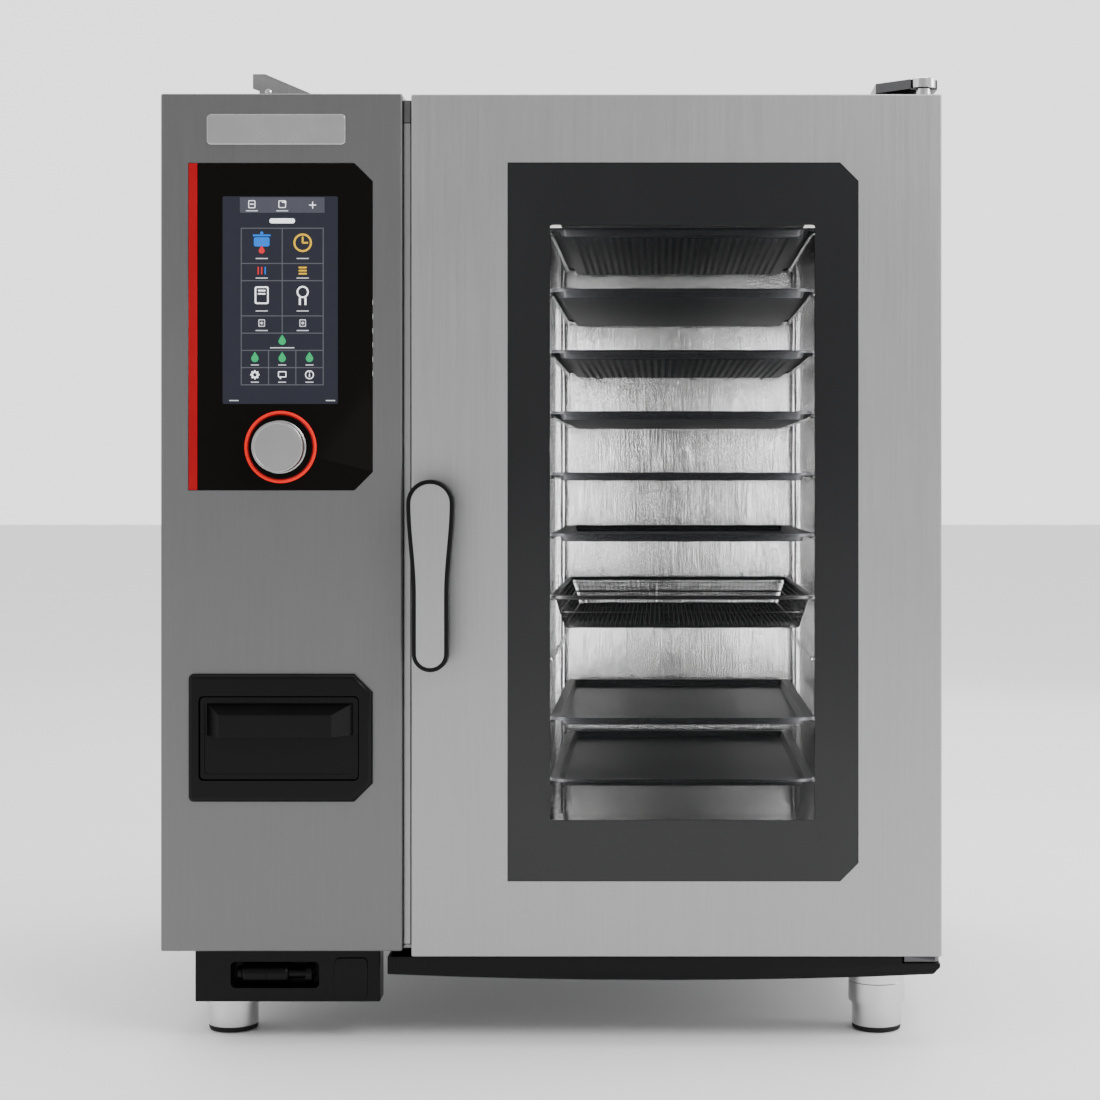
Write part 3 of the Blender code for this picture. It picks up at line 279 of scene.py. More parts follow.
def turned(name, profile, place, axis="Z", sides=64):
    """A round piece: a disc drawn out and resized for each (level, radius) of its profile."""
    level, radius = profile[0]
    disc = {"vertices": sides, "radius": radius, "fill_type": "NGON", "location": (0, 0, level)}
    piece = settle(begin(name, bpy.ops.mesh.primitive_circle_add, **disc))
    with editing(piece):
        pick_all()
        for (z0, r0), (z1, r1) in zip(profile, profile[1:]):
            extrude((0, 0, z1 - z0))
            bpy.ops.transform.resize(value=(r1 / r0, r1 / r0, 1), center_override=(0, 0, z1))
        pick_all()
        bpy.ops.mesh.normals_make_consistent(inside=False)
    turns = {"X": (0, pi / 2, 0), "Y": (pi / 2, 0, pi), "-Y": (pi / 2, 0, 0), "Z": (0, 0, 0)}
    piece.rotation_euler = turns[axis]
    piece.location = place
    return settle(piece)


def rod(name, points, radius, corner=0, sides=2, closed=False):
    """A round bar: a vertex drawn from point to point, its corners rounded, then given thickness."""
    points = [Vector(p) for p in points]
    piece = settle(begin(name, bpy.ops.mesh.primitive_plane_add, size=0.01, location=points[0]))
    with editing(piece):
        pick_all()
        bpy.ops.mesh.merge(type="CENTER")
        for start, end in zip(points, points[1:]):
            extrude(end - start)
        if closed:
            ends = (points[0], points[-1])
            pick(piece, "VERT", lambda v: any((v.co - end).length < CLOSE for end in ends))
            bpy.ops.mesh.edge_face_add()
        if corner:
            pick(piece, "VERT", lambda v: len(v.link_edges) == 2)
            bpy.ops.mesh.bevel(offset=corner, segments=4, affect="VERTICES")
    only(piece)
    bpy.ops.object.convert(target="CURVE")
    piece.data.bevel_depth = radius
    piece.data.bevel_resolution = sides
    piece.data.use_fill_caps = True
    bpy.ops.object.convert(target="MESH")
    return bpy.context.object


def apply_modifier(piece, kind, **settings):
    modifier = piece.modifiers.new(kind.title(), kind)
    for key, value in settings.items():
        setattr(modifier, key, value)
    only(piece)
    bpy.ops.object.modifier_apply(modifier=modifier.name)
    return piece


def cut(piece, *cutters):
    """Takes the cutters' shapes out of a piece."""
    for cutter in cutters:
        apply_modifier(piece, "BOOLEAN", operation="DIFFERENCE", solver="EXACT", object=cutter)
        bpy.data.objects.remove(cutter)
    return piece


def weld(name, *parts):
    """Makes one object of several."""
    bpy.ops.object.select_all(action="DESELECT")
    for part in parts:
        part.select_set(True)
    bpy.context.view_layer.objects.active = parts[0]
    bpy.ops.object.join()
    parts[0].name = parts[0].data.name = name
    return parts[0]


def copy_of(piece, name, move=(0, 0, 0)):
    """A copy with its own mesh, moved."""
    twin = piece.copy()
    twin.data = piece.data.copy()
    twin.name = twin.data.name = name
    bpy.context.scene.collection.objects.link(twin)
    twin.location = move
    return settle(twin)


def coat(piece, material, smooth=SMOOTH):
    """Gives a piece its material, and smooths the edges flatter than an angle."""
    piece.data.materials.clear()
    piece.data.materials.append(material)
    if smooth:
        only(piece)
        bpy.ops.object.shade_smooth_by_angle(angle=radians(smooth))


def dress(piece, body, material, replaces=(), smooth=SMOOTH):
    """Gives a finished piece its material and hangs it on a body of the frame."""
    coat(piece, material, smooth)
    if smooth:
        apply_modifier(piece, "WEIGHTED_NORMAL", keep_sharp=True)
    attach(piece, body)
    if replaces:
        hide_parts(*replaces)
    return piece


def in_plastic(piece, replaces=(), body="casing", smooth=SMOOTH):
    """Dresses a moulded piece in black plastic."""
    return dress(piece, body, black_plastic(), replaces, smooth)


def in_machined_steel(piece, replaces=()):
    """Dresses a turned or stamped piece of the casing."""
    return dress(piece, "casing", machined_steel(), replaces)


def in_bright_steel(piece, replaces=(), smooth=SMOOTH):
    """Dresses a polished piece of the casing."""
    return dress(piece, "casing", bright_steel(), replaces, smooth)


def finish_node(node, material):
    """Gives a node of the frame its material."""
    coat(frame["nodes"][node], material)


def round_node(node, material, edge, segments=2):
    """Stands a copy with joined faces and rounded edges in for a node of the frame."""
    source = frame["nodes"][node]
    body = next(name for name, empty in frame["bodies"].items() if empty is source.parent)
    piece = bpy.data.objects.new(node + "_rounded", source.data.copy())
    bpy.context.scene.collection.objects.link(piece)
    with editing(piece):
        pick_all()
        bpy.ops.mesh.remove_doubles(threshold=0.00002)
    coat(piece, material)
    angles = {"limit_method": "ANGLE", "angle_limit": radians(40)}
    apply_modifier(piece, "BEVEL", width=edge, segments=segments, harden_normals=True, **angles)
    return dress(piece, body, material, [node], None)


# ---------------------------------------------------------------- shader expressions
class Number:
    """A number socket of a material. Arithmetic on it adds Math nodes."""

    def __init__(self, material, socket):
        self.material = material
        self.socket = socket

    def _math(self, operation, first, second, clamp=False):
        settings = {"operation": operation, "use_clamp": clamp}
        return self.material.number("ShaderNodeMath", settings, {0: first, 1: second})

    def __add__(self, other):
        return self._math("ADD", self, other)

    def __sub__(self, other):
        return self._math("SUBTRACT", self, other)

    def __mul__(self, other):
        return self._math("MULTIPLY", self, other)

    def __gt__(self, other):
        return self._math("GREATER_THAN", self, other)

    def __lt__(self, other):
        return self._math("LESS_THAN", self, other)

    def __radd__(self, other):
        return self._math("ADD", other, self)

    def __rsub__(self, other):
        return self._math("SUBTRACT", other, self)

    def __rmul__(self, other):
        return self._math("MULTIPLY", other, self)

    def clamped(self):
        return self._math("ADD", self, 0.0, clamp=True)


class Finish:
    """A material built from expressions around one Principled shader."""

    def __init__(self, name, base, roughness, metallic=0.0, **more):
        self.material = bpy.data.materials.new(name)
        self.material.use_nodes = True
        self.nodes = self.material.node_tree.nodes
        self.links = self.material.node_tree.links
        self.shader = self.nodes["Principled BSDF"]
        self.material.diffuse_color = (*base, 1)
        self.set("Base Color", (*base, 1))
        self.set("Roughness", roughness)
        self.set("Metallic", metallic)
        for key, value in more.items():
            self.set(key.replace("_", " "), value)

    def set(self, socket, value):
        self.feed(self.shader.inputs[socket], value)

    def feed(self, socket, value):
        if isinstance(value, Number):
            self.links.new(value.socket, socket)
        elif isinstance(value, bpy.types.NodeSocket):
            self.links.new(value, socket)
        else:
            socket.default_value = value

    def node(self, kind, settings=(), inputs=()):
        made = self.nodes.new(kind)
        for key, value in dict(settings).items():
            if key == "stops":
                for stop, (place, shade) in zip(made.color_ramp.elements, value):
                    stop.position = place
                    stop.color = shade
            else:
                setattr(made, key, value)
        for key, value in dict(inputs).items():
            self.feed(made.inputs[key], value)
        return made

    def number(self, kind, settings=(), inputs=()):
        return Number(self, self.node(kind, settings, inputs).outputs[0])

    def place(self, scale=(1, 1, 1)):
        """Object coordinates, stretched."""
        inputs = {"Vector": self.node("ShaderNodeTexCoord").outputs["Object"], "Scale": scale}
        return self.node("ShaderNodeMapping", (), inputs).outputs[0]

    def noise(self, scale, detail=2.0, rough=0.5):
        inputs = {"Vector": self.place(scale), "Scale": 1.0, "Detail": detail, "Roughness": rough}
        return self.number("ShaderNodeTexNoise", (), inputs)

    def mix(self, factor, first, second):
        """A colour between two others."""
        inputs = {0: factor, 6: (*first, 1), 7: (*second, 1)}
        return self.node("ShaderNodeMix", {"data_type": "RGBA"}, inputs).outputs[2]

    def bump(self, height, strength, distance):
        inputs = {"Height": height, "Strength": strength, "Distance": distance}
        self.set("Normal", self.node("ShaderNodeBump", (), inputs).outputs[0])
        return self


def shade(base, by):
    return tuple(min(1.0, channel * by) for channel in base)


MADE = {}


def finish(name, make):
    """Makes a material on its first use and hands out the same one after that."""
    if name not in MADE:
        MADE[name] = make(name).material
    return MADE[name]


def brushed(base, roughness):
    """Brushed sheet: fine scratches along one axis, faint clouding and uneven gloss."""

    def make(name):
        steel = Finish(name, base, roughness, 0.95)
        scratch = steel.noise((900, 900, 9), 3.0, 0.65)
        speckle = steel.noise((1400, 1400, 700), 1.0)
        cloud = steel.noise((3, 3, 5))
        tone = (scratch * 0.6 + speckle * 0.25 + cloud * 0.15).clamped()
        steel.set("Base Color", steel.mix(tone, shade(base, 0.8), shade(base, 1.2)))
        steel.set("Roughness", scratch * 0.16 + cloud * 0.08 + (roughness - 0.12))
        return steel.bump(scratch, 0.12, 0.0001)

    return make


def polished(base, roughness, waves=0.25):
    """Bright rolled steel with slow waves and fine rolling lines."""

    def make(name):
        steel = Finish(name, base, roughness, 1.0)
        wave = steel.noise((14, 14, 4))
        line = steel.noise((700, 700, 14))
        steel.set("Base Color", steel.mix(line, shade(base, 0.92), shade(base, 1.05)))
        steel.set("Roughness", line * 0.10 + wave * 0.06 + (roughness - 0.08))
        return steel.bump(wave * 0.9 + line * 0.1, waves, 0.004)

    return make


def turned_metal(base, roughness):
    """Machined metal with fine even grain."""

    def make(name):
        metal = Finish(name, base, roughness, 1.0)
        grain = metal.noise((1100, 1100, 1100))
        cloud = metal.noise((25, 25, 25), 1.0)
        metal.set("Base Color", metal.mix(grain, shade(base, 0.9), shade(base, 1.08)))
        metal.set("Roughness", grain * 0.12 + cloud * 0.10 + (roughness - 0.11))
        return metal.bump(grain, 0.10, 0.0001)

    return make


def granite(base):
    """Granite enamel: a dark ground with paler specks, slightly pebbled."""

    def make(name):
        enamel = Finish(name, base, 0.40, Specular_IOR_Level=0.12)
        speck = enamel.number("ShaderNodeTexVoronoi", (), {"Vector": enamel.place(), "Scale": 420.0})
        spots = (0.23 - speck).clamped() * 4.0
        pebble = enamel.noise((260, 260, 260), 3.0)
        enamel.set("Base Color", enamel.mix(spots.clamped(), base, (0.035, 0.035, 0.038)))
        enamel.set("Roughness", pebble * 0.25 + 0.30)
        return enamel.bump(pebble, 0.25, 0.0004)

    return make


def moulded(base, roughness, gloss=0.2):
    """Moulded plastic with a fine spark-eroded grain."""

    def make(name):
        plastic = Finish(name, base, roughness, Specular_IOR_Level=gloss)
        grain = plastic.noise((1500, 1500, 1500))
        cloud = plastic.noise((18, 18, 18), 1.0)
        plastic.set("Base Color", plastic.mix(cloud, shade(base, 0.85), shade(base, 1.2)))
        plastic.set("Roughness", grain * 0.14 + cloud * 0.08 + (roughness - 0.11))
        return plastic.bump(grain, 0.18, 0.0002)

    return make


def glossy(base, roughness, gloss=0.2):
    """Printed glass with the faint unevenness of wiped glass."""

    def make(name):
        glass = Finish(name, base, roughness, Specular_IOR_Level=gloss)
        wipe = glass.noise((9, 9, 4), 3.0)
        glass.set("Base Color", glass.mix(wipe, shade(base, 0.8), shade(base, 1.25)))
        glass.set("Roughness", wipe * 0.06 + (roughness - 0.02))
        return glass

    return make


def clear(tint, alpha):
    """A thin clear pane, seen as a slight veil."""

    def make(name):
        pane = Finish(name, tint, 0.04, Specular_IOR_Level=0.35)
        wipe = pane.noise((8, 8, 3))
        pane.set("Roughness", wipe * 0.05 + 0.02)
        pane.set("Alpha", wipe * (0.4 * alpha) + 0.8 * alpha)
        return pane

    return make


def glowing(base, strength):
    """A lit surface with a slightly uneven glow."""

    def make(name):
        light = Finish(name, base, 0.4, Emission_Strength=strength, Specular_IOR_Level=0.1)
        spread = light.noise((60, 60, 60), 1.0)
        tone = light.mix(spread, shade(base, 0.94), shade(base, 1.04))
        light.set("Base Color", tone)
        light.set("Emission Color", tone)
        return light

    return make


def lamp_diffuser(name):
    """Lit strips up both sides of the lamp frame, and dark bars across."""
    low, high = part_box("door_lamp_frame")
    strip, dark = 0.030, (0.02, 0.02, 0.02)
    light = Finish(name, dark, 0.4, Emission_Strength=0.8)
    across = light.number("ShaderNodeSeparateXYZ", (), {0: light.place()})
    lit = ((across < low.x + strip) + (across > high.x - strip)).clamped()
    light.set("Base Color", light.mix(lit, dark, (0.90, 0.89, 0.86)))
    light.set("Emission Color", light.mix(lit, (0, 0, 0), (0.95, 0.94, 0.90)))
    return light


def wool(name):
    """Mineral wool: long pale fibres, strongly matted."""
    fibre = Finish(name, (0.50, 0.44, 0.28), 0.95)
    strand = fibre.noise((120, 500, 60), 6.0, 0.7)
    fibre.set("Base Color", fibre.mix(strand, (0.36, 0.31, 0.18), (0.62, 0.56, 0.38)))
    fibre.set("Roughness", strand * 0.1 + 0.88)
    return fibre.bump(strand, 0.9, 0.004)


def circuit(name):
    """A green board with raised traces."""
    board = Finish(name, (0.02, 0.13, 0.05), 0.45)
    inputs = {"Vector": board.place(), "Scale": 160.0}
    trace = board.number("ShaderNodeTexVoronoi", {"distance": "MANHATTAN"}, inputs)
    board.set("Base Color", board.mix(trace > 0.5, (0.015, 0.11, 0.04), (0.03, 0.19, 0.07)))
    board.set("Roughness", trace * 0.15 + 0.4)
    return board.bump(trace > 0.5, 0.3, 0.0002)


def door_steel():
    return finish("door_brushed_steel", brushed(user_colour("door_steel"), 0.42))


def column_steel():
    return finish("column_brushed_steel", brushed(user_colour("column_steel"), 0.42))


def case_steel():
    return finish("casing_brushed_steel", brushed(user_colour("case_steel"), 0.38))


def bright_steel():
    return finish("polished_steel", polished(user_colour("polished"), 0.16))


def liner_steel():
    return finish("cavity_steel", polished(shade(user_colour("polished"), 0.70), 0.24, 0.6))


def machined_steel():
    return finish("machined_steel", turned_metal((0.60, 0.60, 0.61), 0.24))


def knob_steel():
    return finish("knob_aluminium", turned_metal((0.36, 0.36, 0.36), 0.38))


def black_plastic():
    return finish("black_moulded_plastic", moulded(user_colour("plastic"), 0.34, 0.14))


def black_rubber():
    return finish("black_rubber", moulded((0.012, 0.012, 0.012), 0.78))


def enamel():
    return finish("granite_enamel", granite(user_colour("enamel")))


def black_glass():
    return finish("black_printed_glass", glossy((0.0035, 0.0030, 0.0026), 0.05, 0.07))


def border_glass():
    return finish("door_glass_border", glossy((0.0100, 0.0103, 0.0110), 0.12, 0.30))


# ---------------------------------------------------------------- operators
class PieceOperator(bpy.types.Operator):
    """What the operators below share: each can be undone"""

    bl_options = {"REGISTER", "UNDO"}


def door_pin():
    """Where the door's upright axis stands, left to right and front to back."""
    joint = next(joint for joint in frame["joints"] if joint["name"] == "door_swing")
    return joint["pos_m"][:2]


def folded_front(name, node, openings):
    """A front sheet with rounded folds, open at the back, with openings cut through it."""
    low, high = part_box(node)
    fold, wall = sizes().fold, sizes().sheet
    piece = add_block(name, low, high)
    with editing(piece):
        pick(piece, "FACE", lambda face: near(middle(face).y, high.y))
        bpy.ops.mesh.delete(type="FACE")
        pick(piece, "EDGE", lambda e: upright(e, 1))
        bpy.ops.mesh.bevel(offset=fold * 1.1, segments=4, affect="EDGES")
        pick(piece, "EDGE", lambda e: all(near(v.co.y, low.y) for v in e.verts))
        bpy.ops.mesh.bevel(offset=fold, segments=4, affect="EDGES")
    apply_modifier(piece, "SOLIDIFY", thickness=wall, offset=-1, use_even_offset=True)
    return cut(piece, *openings)


def through(low, high, by=0.02):
    """The same corners, pushed out to the front and back for a cutter."""
    return Vector((low.x, low.y - by, low.z)), Vector((high.x, high.y + by, high.z))


class OVEN_OT_casing(PieceOperator):
    """Finishes the side sheets, top cover, rear panel, base pan and front frame"""

    bl_idname = "oven.casing"
    bl_label = "Casing"

    def execute(self, context):
        for node in ("left_side_panel", "right_side_panel", "rear_panel", "top_cover", "base_pan"):
            round_node(node, case_steel(), 0.0006)
        finish_node("cavity_front_frame", bright_steel())
        self.add_screws()
        return {"FINISHED"}

    def add_screws(self):
        """Dished screw heads with a round socket round the rear panel."""
        low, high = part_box("rear_panel")
        inset, count = 0.016, 6
        step = (high.z - low.z - 2 * inset) / (count - 1)
        rows = [low.z + inset + step * i for i in range(count)]
        places = [(x, z) for x in (low.x + inset, high.x - inset) for z in rows]
        profile = [(0, 0.0060), (0.0012, 0.0058), (0.0026, 0.0038), (0.0028, 0.0022), (0.0010, 0.0020)]
        head = turned("rear_screw", profile, (0, 0, 0), "Y", 24)
        heads = [copy_of(head, f"rear_screw_{i}", (x, high.y, z)) for i, (x, z) in enumerate(places)]
        bpy.data.objects.remove(head)
        in_machined_steel(weld("rear_panel_screws", *heads))


class OVEN_OT_column(PieceOperator):
    """Builds the folded front of the control column and its blank badge plate"""

    bl_idname = "oven.column"
    bl_label = "Control column"

    def execute(self, context):
        glass_low, glass_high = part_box("control_glass")
        strip_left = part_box("accent_strip")[0].x
        low, high = through(Vector((strip_left, glass_low.y, glass_low.z)), glass_high)
        window = cut_block("window_cutter", low - PLAY, high + PLAY, sizes().corner_cut)
        drawer_low, drawer_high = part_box("drawer_tub")
        room = Vector((0.0045, 0.02, 0.0045))
        slot = add_block("drawer_cutter", drawer_low - room, drawer_high + room)
        front = folded_front("column_front", "control_fascia", [window, slot])
        dress(front, "casing", column_steel(), ["control_fascia"])
        self.add_badge(glass_high, strip_left)
        self.add_gap_strip()
        return {"FINISHED"}

    def add_gap_strip(self):
        """A channel up the column's side that closes the gap beside the door, with a darker cap."""
        low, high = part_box("control_fascia")
        gap, inset, cap, proud = 0.0018, 0.006, 0.027, 0.001
        left, right = high.x + 0.0001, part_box("door_outer_skin")[0].x - gap
        front, joint = low.y + 0.012, high.z - inset - cap
        channel = soft_block("gap_channel", (left, front, low.z + inset), (right, high.y, joint), 0.0012, 3)
        dress(channel, "casing", door_steel())
        cap_low, cap_high = (left, front - proud, joint + 0.0004), (right, high.y, high.z - inset)
        top_cap = soft_block("gap_channel_cap", cap_low, cap_high, 0.0010, 3)
        dress(top_cap, "casing", column_steel())

    def add_badge(self, glass_high, left):
        """A plain plate with a sunk field above the control glass."""
        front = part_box("control_fascia")[0].y
        centre = (left + glass_high.x) / 2 - 0.005
        half_width, height, base = 0.082, 0.036, glass_high.z + 0.022
        proud, bedded, sunk = 0.0022, 0.0004, 0.0006
        low = Vector((centre - half_width, front - proud, base))
        high = Vector((centre + half_width, front + bedded, base + height))
        plate = front_bevel(round_block("badge_plate", low, high, 0.005), 0.0008, 3)
        rim = Vector((0.0028, 0, 0.0028))
        field_low = low + rim - Vector((0, 0.01, 0))
        field_high = Vector((high.x, low.y + sunk, high.z)) - rim
        cut(plate, round_block("badge_cutter", field_low, field_high, 0.0032))
        in_machined_steel(plate)


class OVEN_OT_control_glass(PieceOperator):
    """Finishes the control glass, its red strip and what lies behind them"""

    bl_idname = "oven.control_glass"
    bl_label = "Control glass"

    def execute(self, context):
        round_node("control_glass", black_glass(), 0.0004)
        red = finish("red_strip", moulded(user_colour("red"), 0.42, 0.08))
        round_node("accent_strip", red, 0.0004)
        finish_node("touch_display", finish("display_back", glossy((0.03, 0.03, 0.04), 0.2)))
        finish_node("control_board", finish("circuit_board", circuit))
        finish_node("knob_encoder", black_plastic())
        finish_node("knob_shaft", machined_steel())
        return {"FINISHED"}


GEAR_TEETH = [2 * pi * i / 8 for i in range(8)]
# Each stroke of an icon is its shape, tint, place across and up, and sizes, in shares of the icon.
ICONS = {
    "cook": (
        ("plate", "blue", 0, 0.1, 1.7, 1.0, 0.2),
        ("plate", "blue", 0, 0.8, 1.9, 0.2),
        ("disc", "blue", 0, 1.05, 0.18),
        ("drop", "red", 0, -0.85, 0.32),
    ),
    "timer": (
        ("ring", "yellow", 0, 0, 1.0, 0.2),
        ("plate", "yellow", 0, 0.3, 0.18, 0.7),
        ("plate", "yellow", 0.28, 0, 0.6, 0.18),
    ),
    "steam": tuple(
        ("plate", tint, across, 0, 0.28, 1.8, 0.12)
        for across, tint in ((-0.8, "red"), (0.0, "red"), (0.8, "blue"))
    ),
    "stack": tuple(("plate", "yellow", 0, up, 1.9, 0.36, 0.15) for up in (-0.7, 0.0, 0.7)),
    "book": (
        ("frame", "white", 0, 0, 1.5, 1.9, 0.16, 0.2),
        ("plate", "white", 0, 0.5, 0.8, 0.16),
        ("plate", "white", 0, 0.15, 0.8, 0.16),
    ),
    "medal": (
        ("ring", "white", 0, 0.35, 0.65, 0.16),
        ("plate", "white", -0.3, -0.65, 0.2, 0.8),
        ("plate", "white", 0.3, -0.65, 0.2, 0.8),
    ),
    "page": (("frame", "pale", 0, 0, 1.5, 1.7, 0.2, 0.2), ("disc", "pale", 0, 0, 0.32)),
    "leaf": (("drop", "green", 0, -0.2, 0.85),),
    "gear": (
        ("ring", "white", 0, 0, 0.75, 0.3),
        *(("dot", "white", 0.85 * cos(turn), 0.85 * sin(turn), 0.2) for turn in GEAR_TEETH),
    ),
    "speech": (
        ("frame", "white", 0, 0.1, 1.9, 1.4, 0.2, 0.2),
        ("plate", "white", -0.4, -0.75, 0.25, 0.4),
    ),
    "info": (
        ("ring", "white", 0, 0, 1.0, 0.2),
        ("plate", "white", 0, -0.15, 0.2, 0.7),
        ("dot", "white", 0, 0.5, 0.14),
    ),
    "top_bar": (
        ("frame", "white", -0.036, 0.001, 0.0082, 0.0092),
        ("plate", "white", -0.036, 0.001, 0.0042, 0.0010),
        ("frame", "white", 0, 0.001, 0.0088, 0.0088),
        ("plate", "white", 0.0022, 0.0034, 0.0050, 0.0014),
        ("plate", "white", 0.036, 0, 0.0082, 0.0010),
        ("plate", "white", 0.036, 0, 0.0010, 0.0082),
    ),
}


class Screen:
    """The lit picture on the touch display, drawn with thin plates in layers."""

    def __init__(self):
        low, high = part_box("touch_display")
        edge = 0.003
        self.left, self.right = low.x + edge, high.x - edge
        self.low, self.high = low.z + edge, high.z - edge
        self.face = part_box("control_glass")[0].y
        self.parts = {}
        self.count = 0

    def keep(self, tint, piece):
        self.parts.setdefault(tint, []).append(piece)
        return piece

    def depths(self, layer):
        """Front and back of a layer: 1 lies on the glass, higher ones in front of it."""
        return self.face - 0.00012 * layer, self.face + 0.0002

    def plate(self, tint, layer, x, z, wide, tall, corner=0.0):
        self.count += 1
        front, back = self.depths(layer)
        low = (x - wide / 2, front, z - tall / 2)
        high = (x + wide / 2, back, z + tall / 2)
        name = f"screen_plate_{self.count}"
        if corner:
            return self.keep(tint, round_block(name, low, high, corner, segments=3))
        return self.keep(tint, add_block(name, low, high))

    def disc(self, tint, layer, x, z, radius, sides=12):
        self.count += 1
        front, back = self.depths(layer)
        profile = [(0, radius), (back - front, radius)]
        return self.keep(tint, turned(f"screen_disc_{self.count}", profile, (x, back, z), "-Y", sides))

    def dot(self, tint, layer, x, z, radius):
        return self.disc(tint, layer, x, z, radius, 8)

    def ring(self, tint, layer, x, z, radius, width):
        disc, bore = self.disc(tint, layer, x, z, radius, 28), radius - width
        place = (x, self.depths(layer)[1] + 0.002, z)
        return cut(disc, turned("ring_cutter", [(0, bore), (0.004, bore)], place, "-Y", 28))

    def frame(self, tint, layer, x, z, wide, tall, width=0.0008, corner=0.0012):
        plate = self.plate(tint, layer, x, z, wide, tall, corner)
        half = Vector((wide / 2 - width, 0.002, tall / 2 - width))
        centre = Vector((x, self.face, z))
        hole = round_block("frame_cutter", centre - half, centre + half, corner * 0.6, segments=3)
        return cut(plate, hole)

    def drop(self, tint, layer, x, z, radius):
        """A water drop: a disc whose topmost corner is drawn up to a point."""
        piece = self.disc(tint, layer, x, z, radius, 24)
        for vertex in piece.data.vertices:
            rise = (vertex.co.z - z) / radius
            if rise > 0:
                vertex.co.x = x + (vertex.co.x - x) * (1 - rise * rise * 0.7)
                vertex.co.z = z + (vertex.co.z - z) * (1 + 0.75 * rise)
        return piece

    def label(self, layer, x, z, wide):
        """A short bar where a caption would stand."""
        self.plate("pale", layer, x, z, wide, 0.0011)

    def icon(self, name, x, z, size, layer=4):
        for shape, tint, across, up, *shares in ICONS[name]:
            spans = [share * size for share in shares]
            getattr(self, shape)(tint, layer, x + across * size, z + up * size, *spans)


class OVEN_OT_screen(PieceOperator):
    """Draws the display's picture: a bar, a heading, seven rows of fields and their icons"""

    bl_idname = "oven.screen"
    bl_label = "Display picture"

    def execute(self, context):
        screen = Screen()
        wide, tall = screen.right - screen.left, screen.high - screen.low
        centre = (screen.left + screen.right) / 2
        screen.plate("ground", 1, centre, (screen.low + screen.high) / 2, wide, tall, 0.0015)
        centre += 0.0024
        field = 0.0982
        bar_z = screen.high - 0.0103
        screen.plate("bar", 2, centre, bar_z, field + 0.002, 0.0183)
        screen.icon("top_bar", centre, bar_z, 1, 3)
        for offset in (-0.036, 0.0):
            screen.label(3, centre + offset, bar_z - 0.0068, 0.014)
        screen.plate("white", 3, centre, screen.high - 0.0290, 0.030, 0.0058, 0.0024)
        self.draw_fields(screen, centre, field)
        for side in (-1, 1):
            screen.label(3, centre + side * (wide / 2 - 0.011), screen.low + 0.0040, 0.011)
        self.hand_over(screen)
        return {"FINISHED"}

    def draw_fields(self, screen, centre, field):
        """Rows of two, one or three fields. Tall rows hold the large icons."""
        tall, short, line = 0.0405, 0.0192, 0.0012
        rows = ((2, tall), (2, short), (2, tall), (2, short), (1, short), (3, short), (3, short))
        icons = (
            ("cook", "timer"),
            ("steam", "stack"),
            ("book", "medal"),
            ("page", "page"),
            ("leaf",),
            ("leaf", "leaf", "leaf"),
            ("gear", "speech", "info"),
        )
        whole = sum(height for _, height in rows) + line * (len(rows) + 1)
        top = screen.high - 0.0372
        screen.plate("line", 2, centre, top - whole / 2, field, whole)
        z = top - line
        for (count, height), drawn in zip(rows, icons):
            cell = (field - line * (count + 1)) / count
            for column in range(count):
                x = centre - field / 2 + line + cell / 2 + (cell + line) * column
                screen.plate("ground", 3, x, z - height / 2, cell, height)
                lift = height * 0.09
                screen.icon(drawn[column], x, z - height / 2 + lift, height * 0.27)
                screen.label(4, x, z - height + height * 0.13, cell * 0.3)
            z -= height + line

    def hand_over(self, screen):
        """One piece for each tint, lit like a display."""
        tints = {
            "ground": (user_colour("screen"), 0.9),
            "bar": ((0.040, 0.041, 0.052), 0.9),
            "line": ((0.060, 0.062, 0.072), 0.8),
            "white": ((0.80, 0.82, 0.85), 0.9),
            "pale": ((0.42, 0.43, 0.46), 0.8),
            "blue": ((0.006, 0.12, 0.50), 0.6),
            "red": ((0.50, 0.012, 0.020), 0.6),
            "yellow": ((0.55, 0.33, 0.012), 0.7),
            "green": ((0.006, 0.28, 0.09), 0.6),
        }
        for shade_name, parts in screen.parts.items():
            base, strength = tints[shade_name]
            name = "screen_" + shade_name
            dress(weld(name, *parts), "casing", finish(name, glowing(base, strength)))


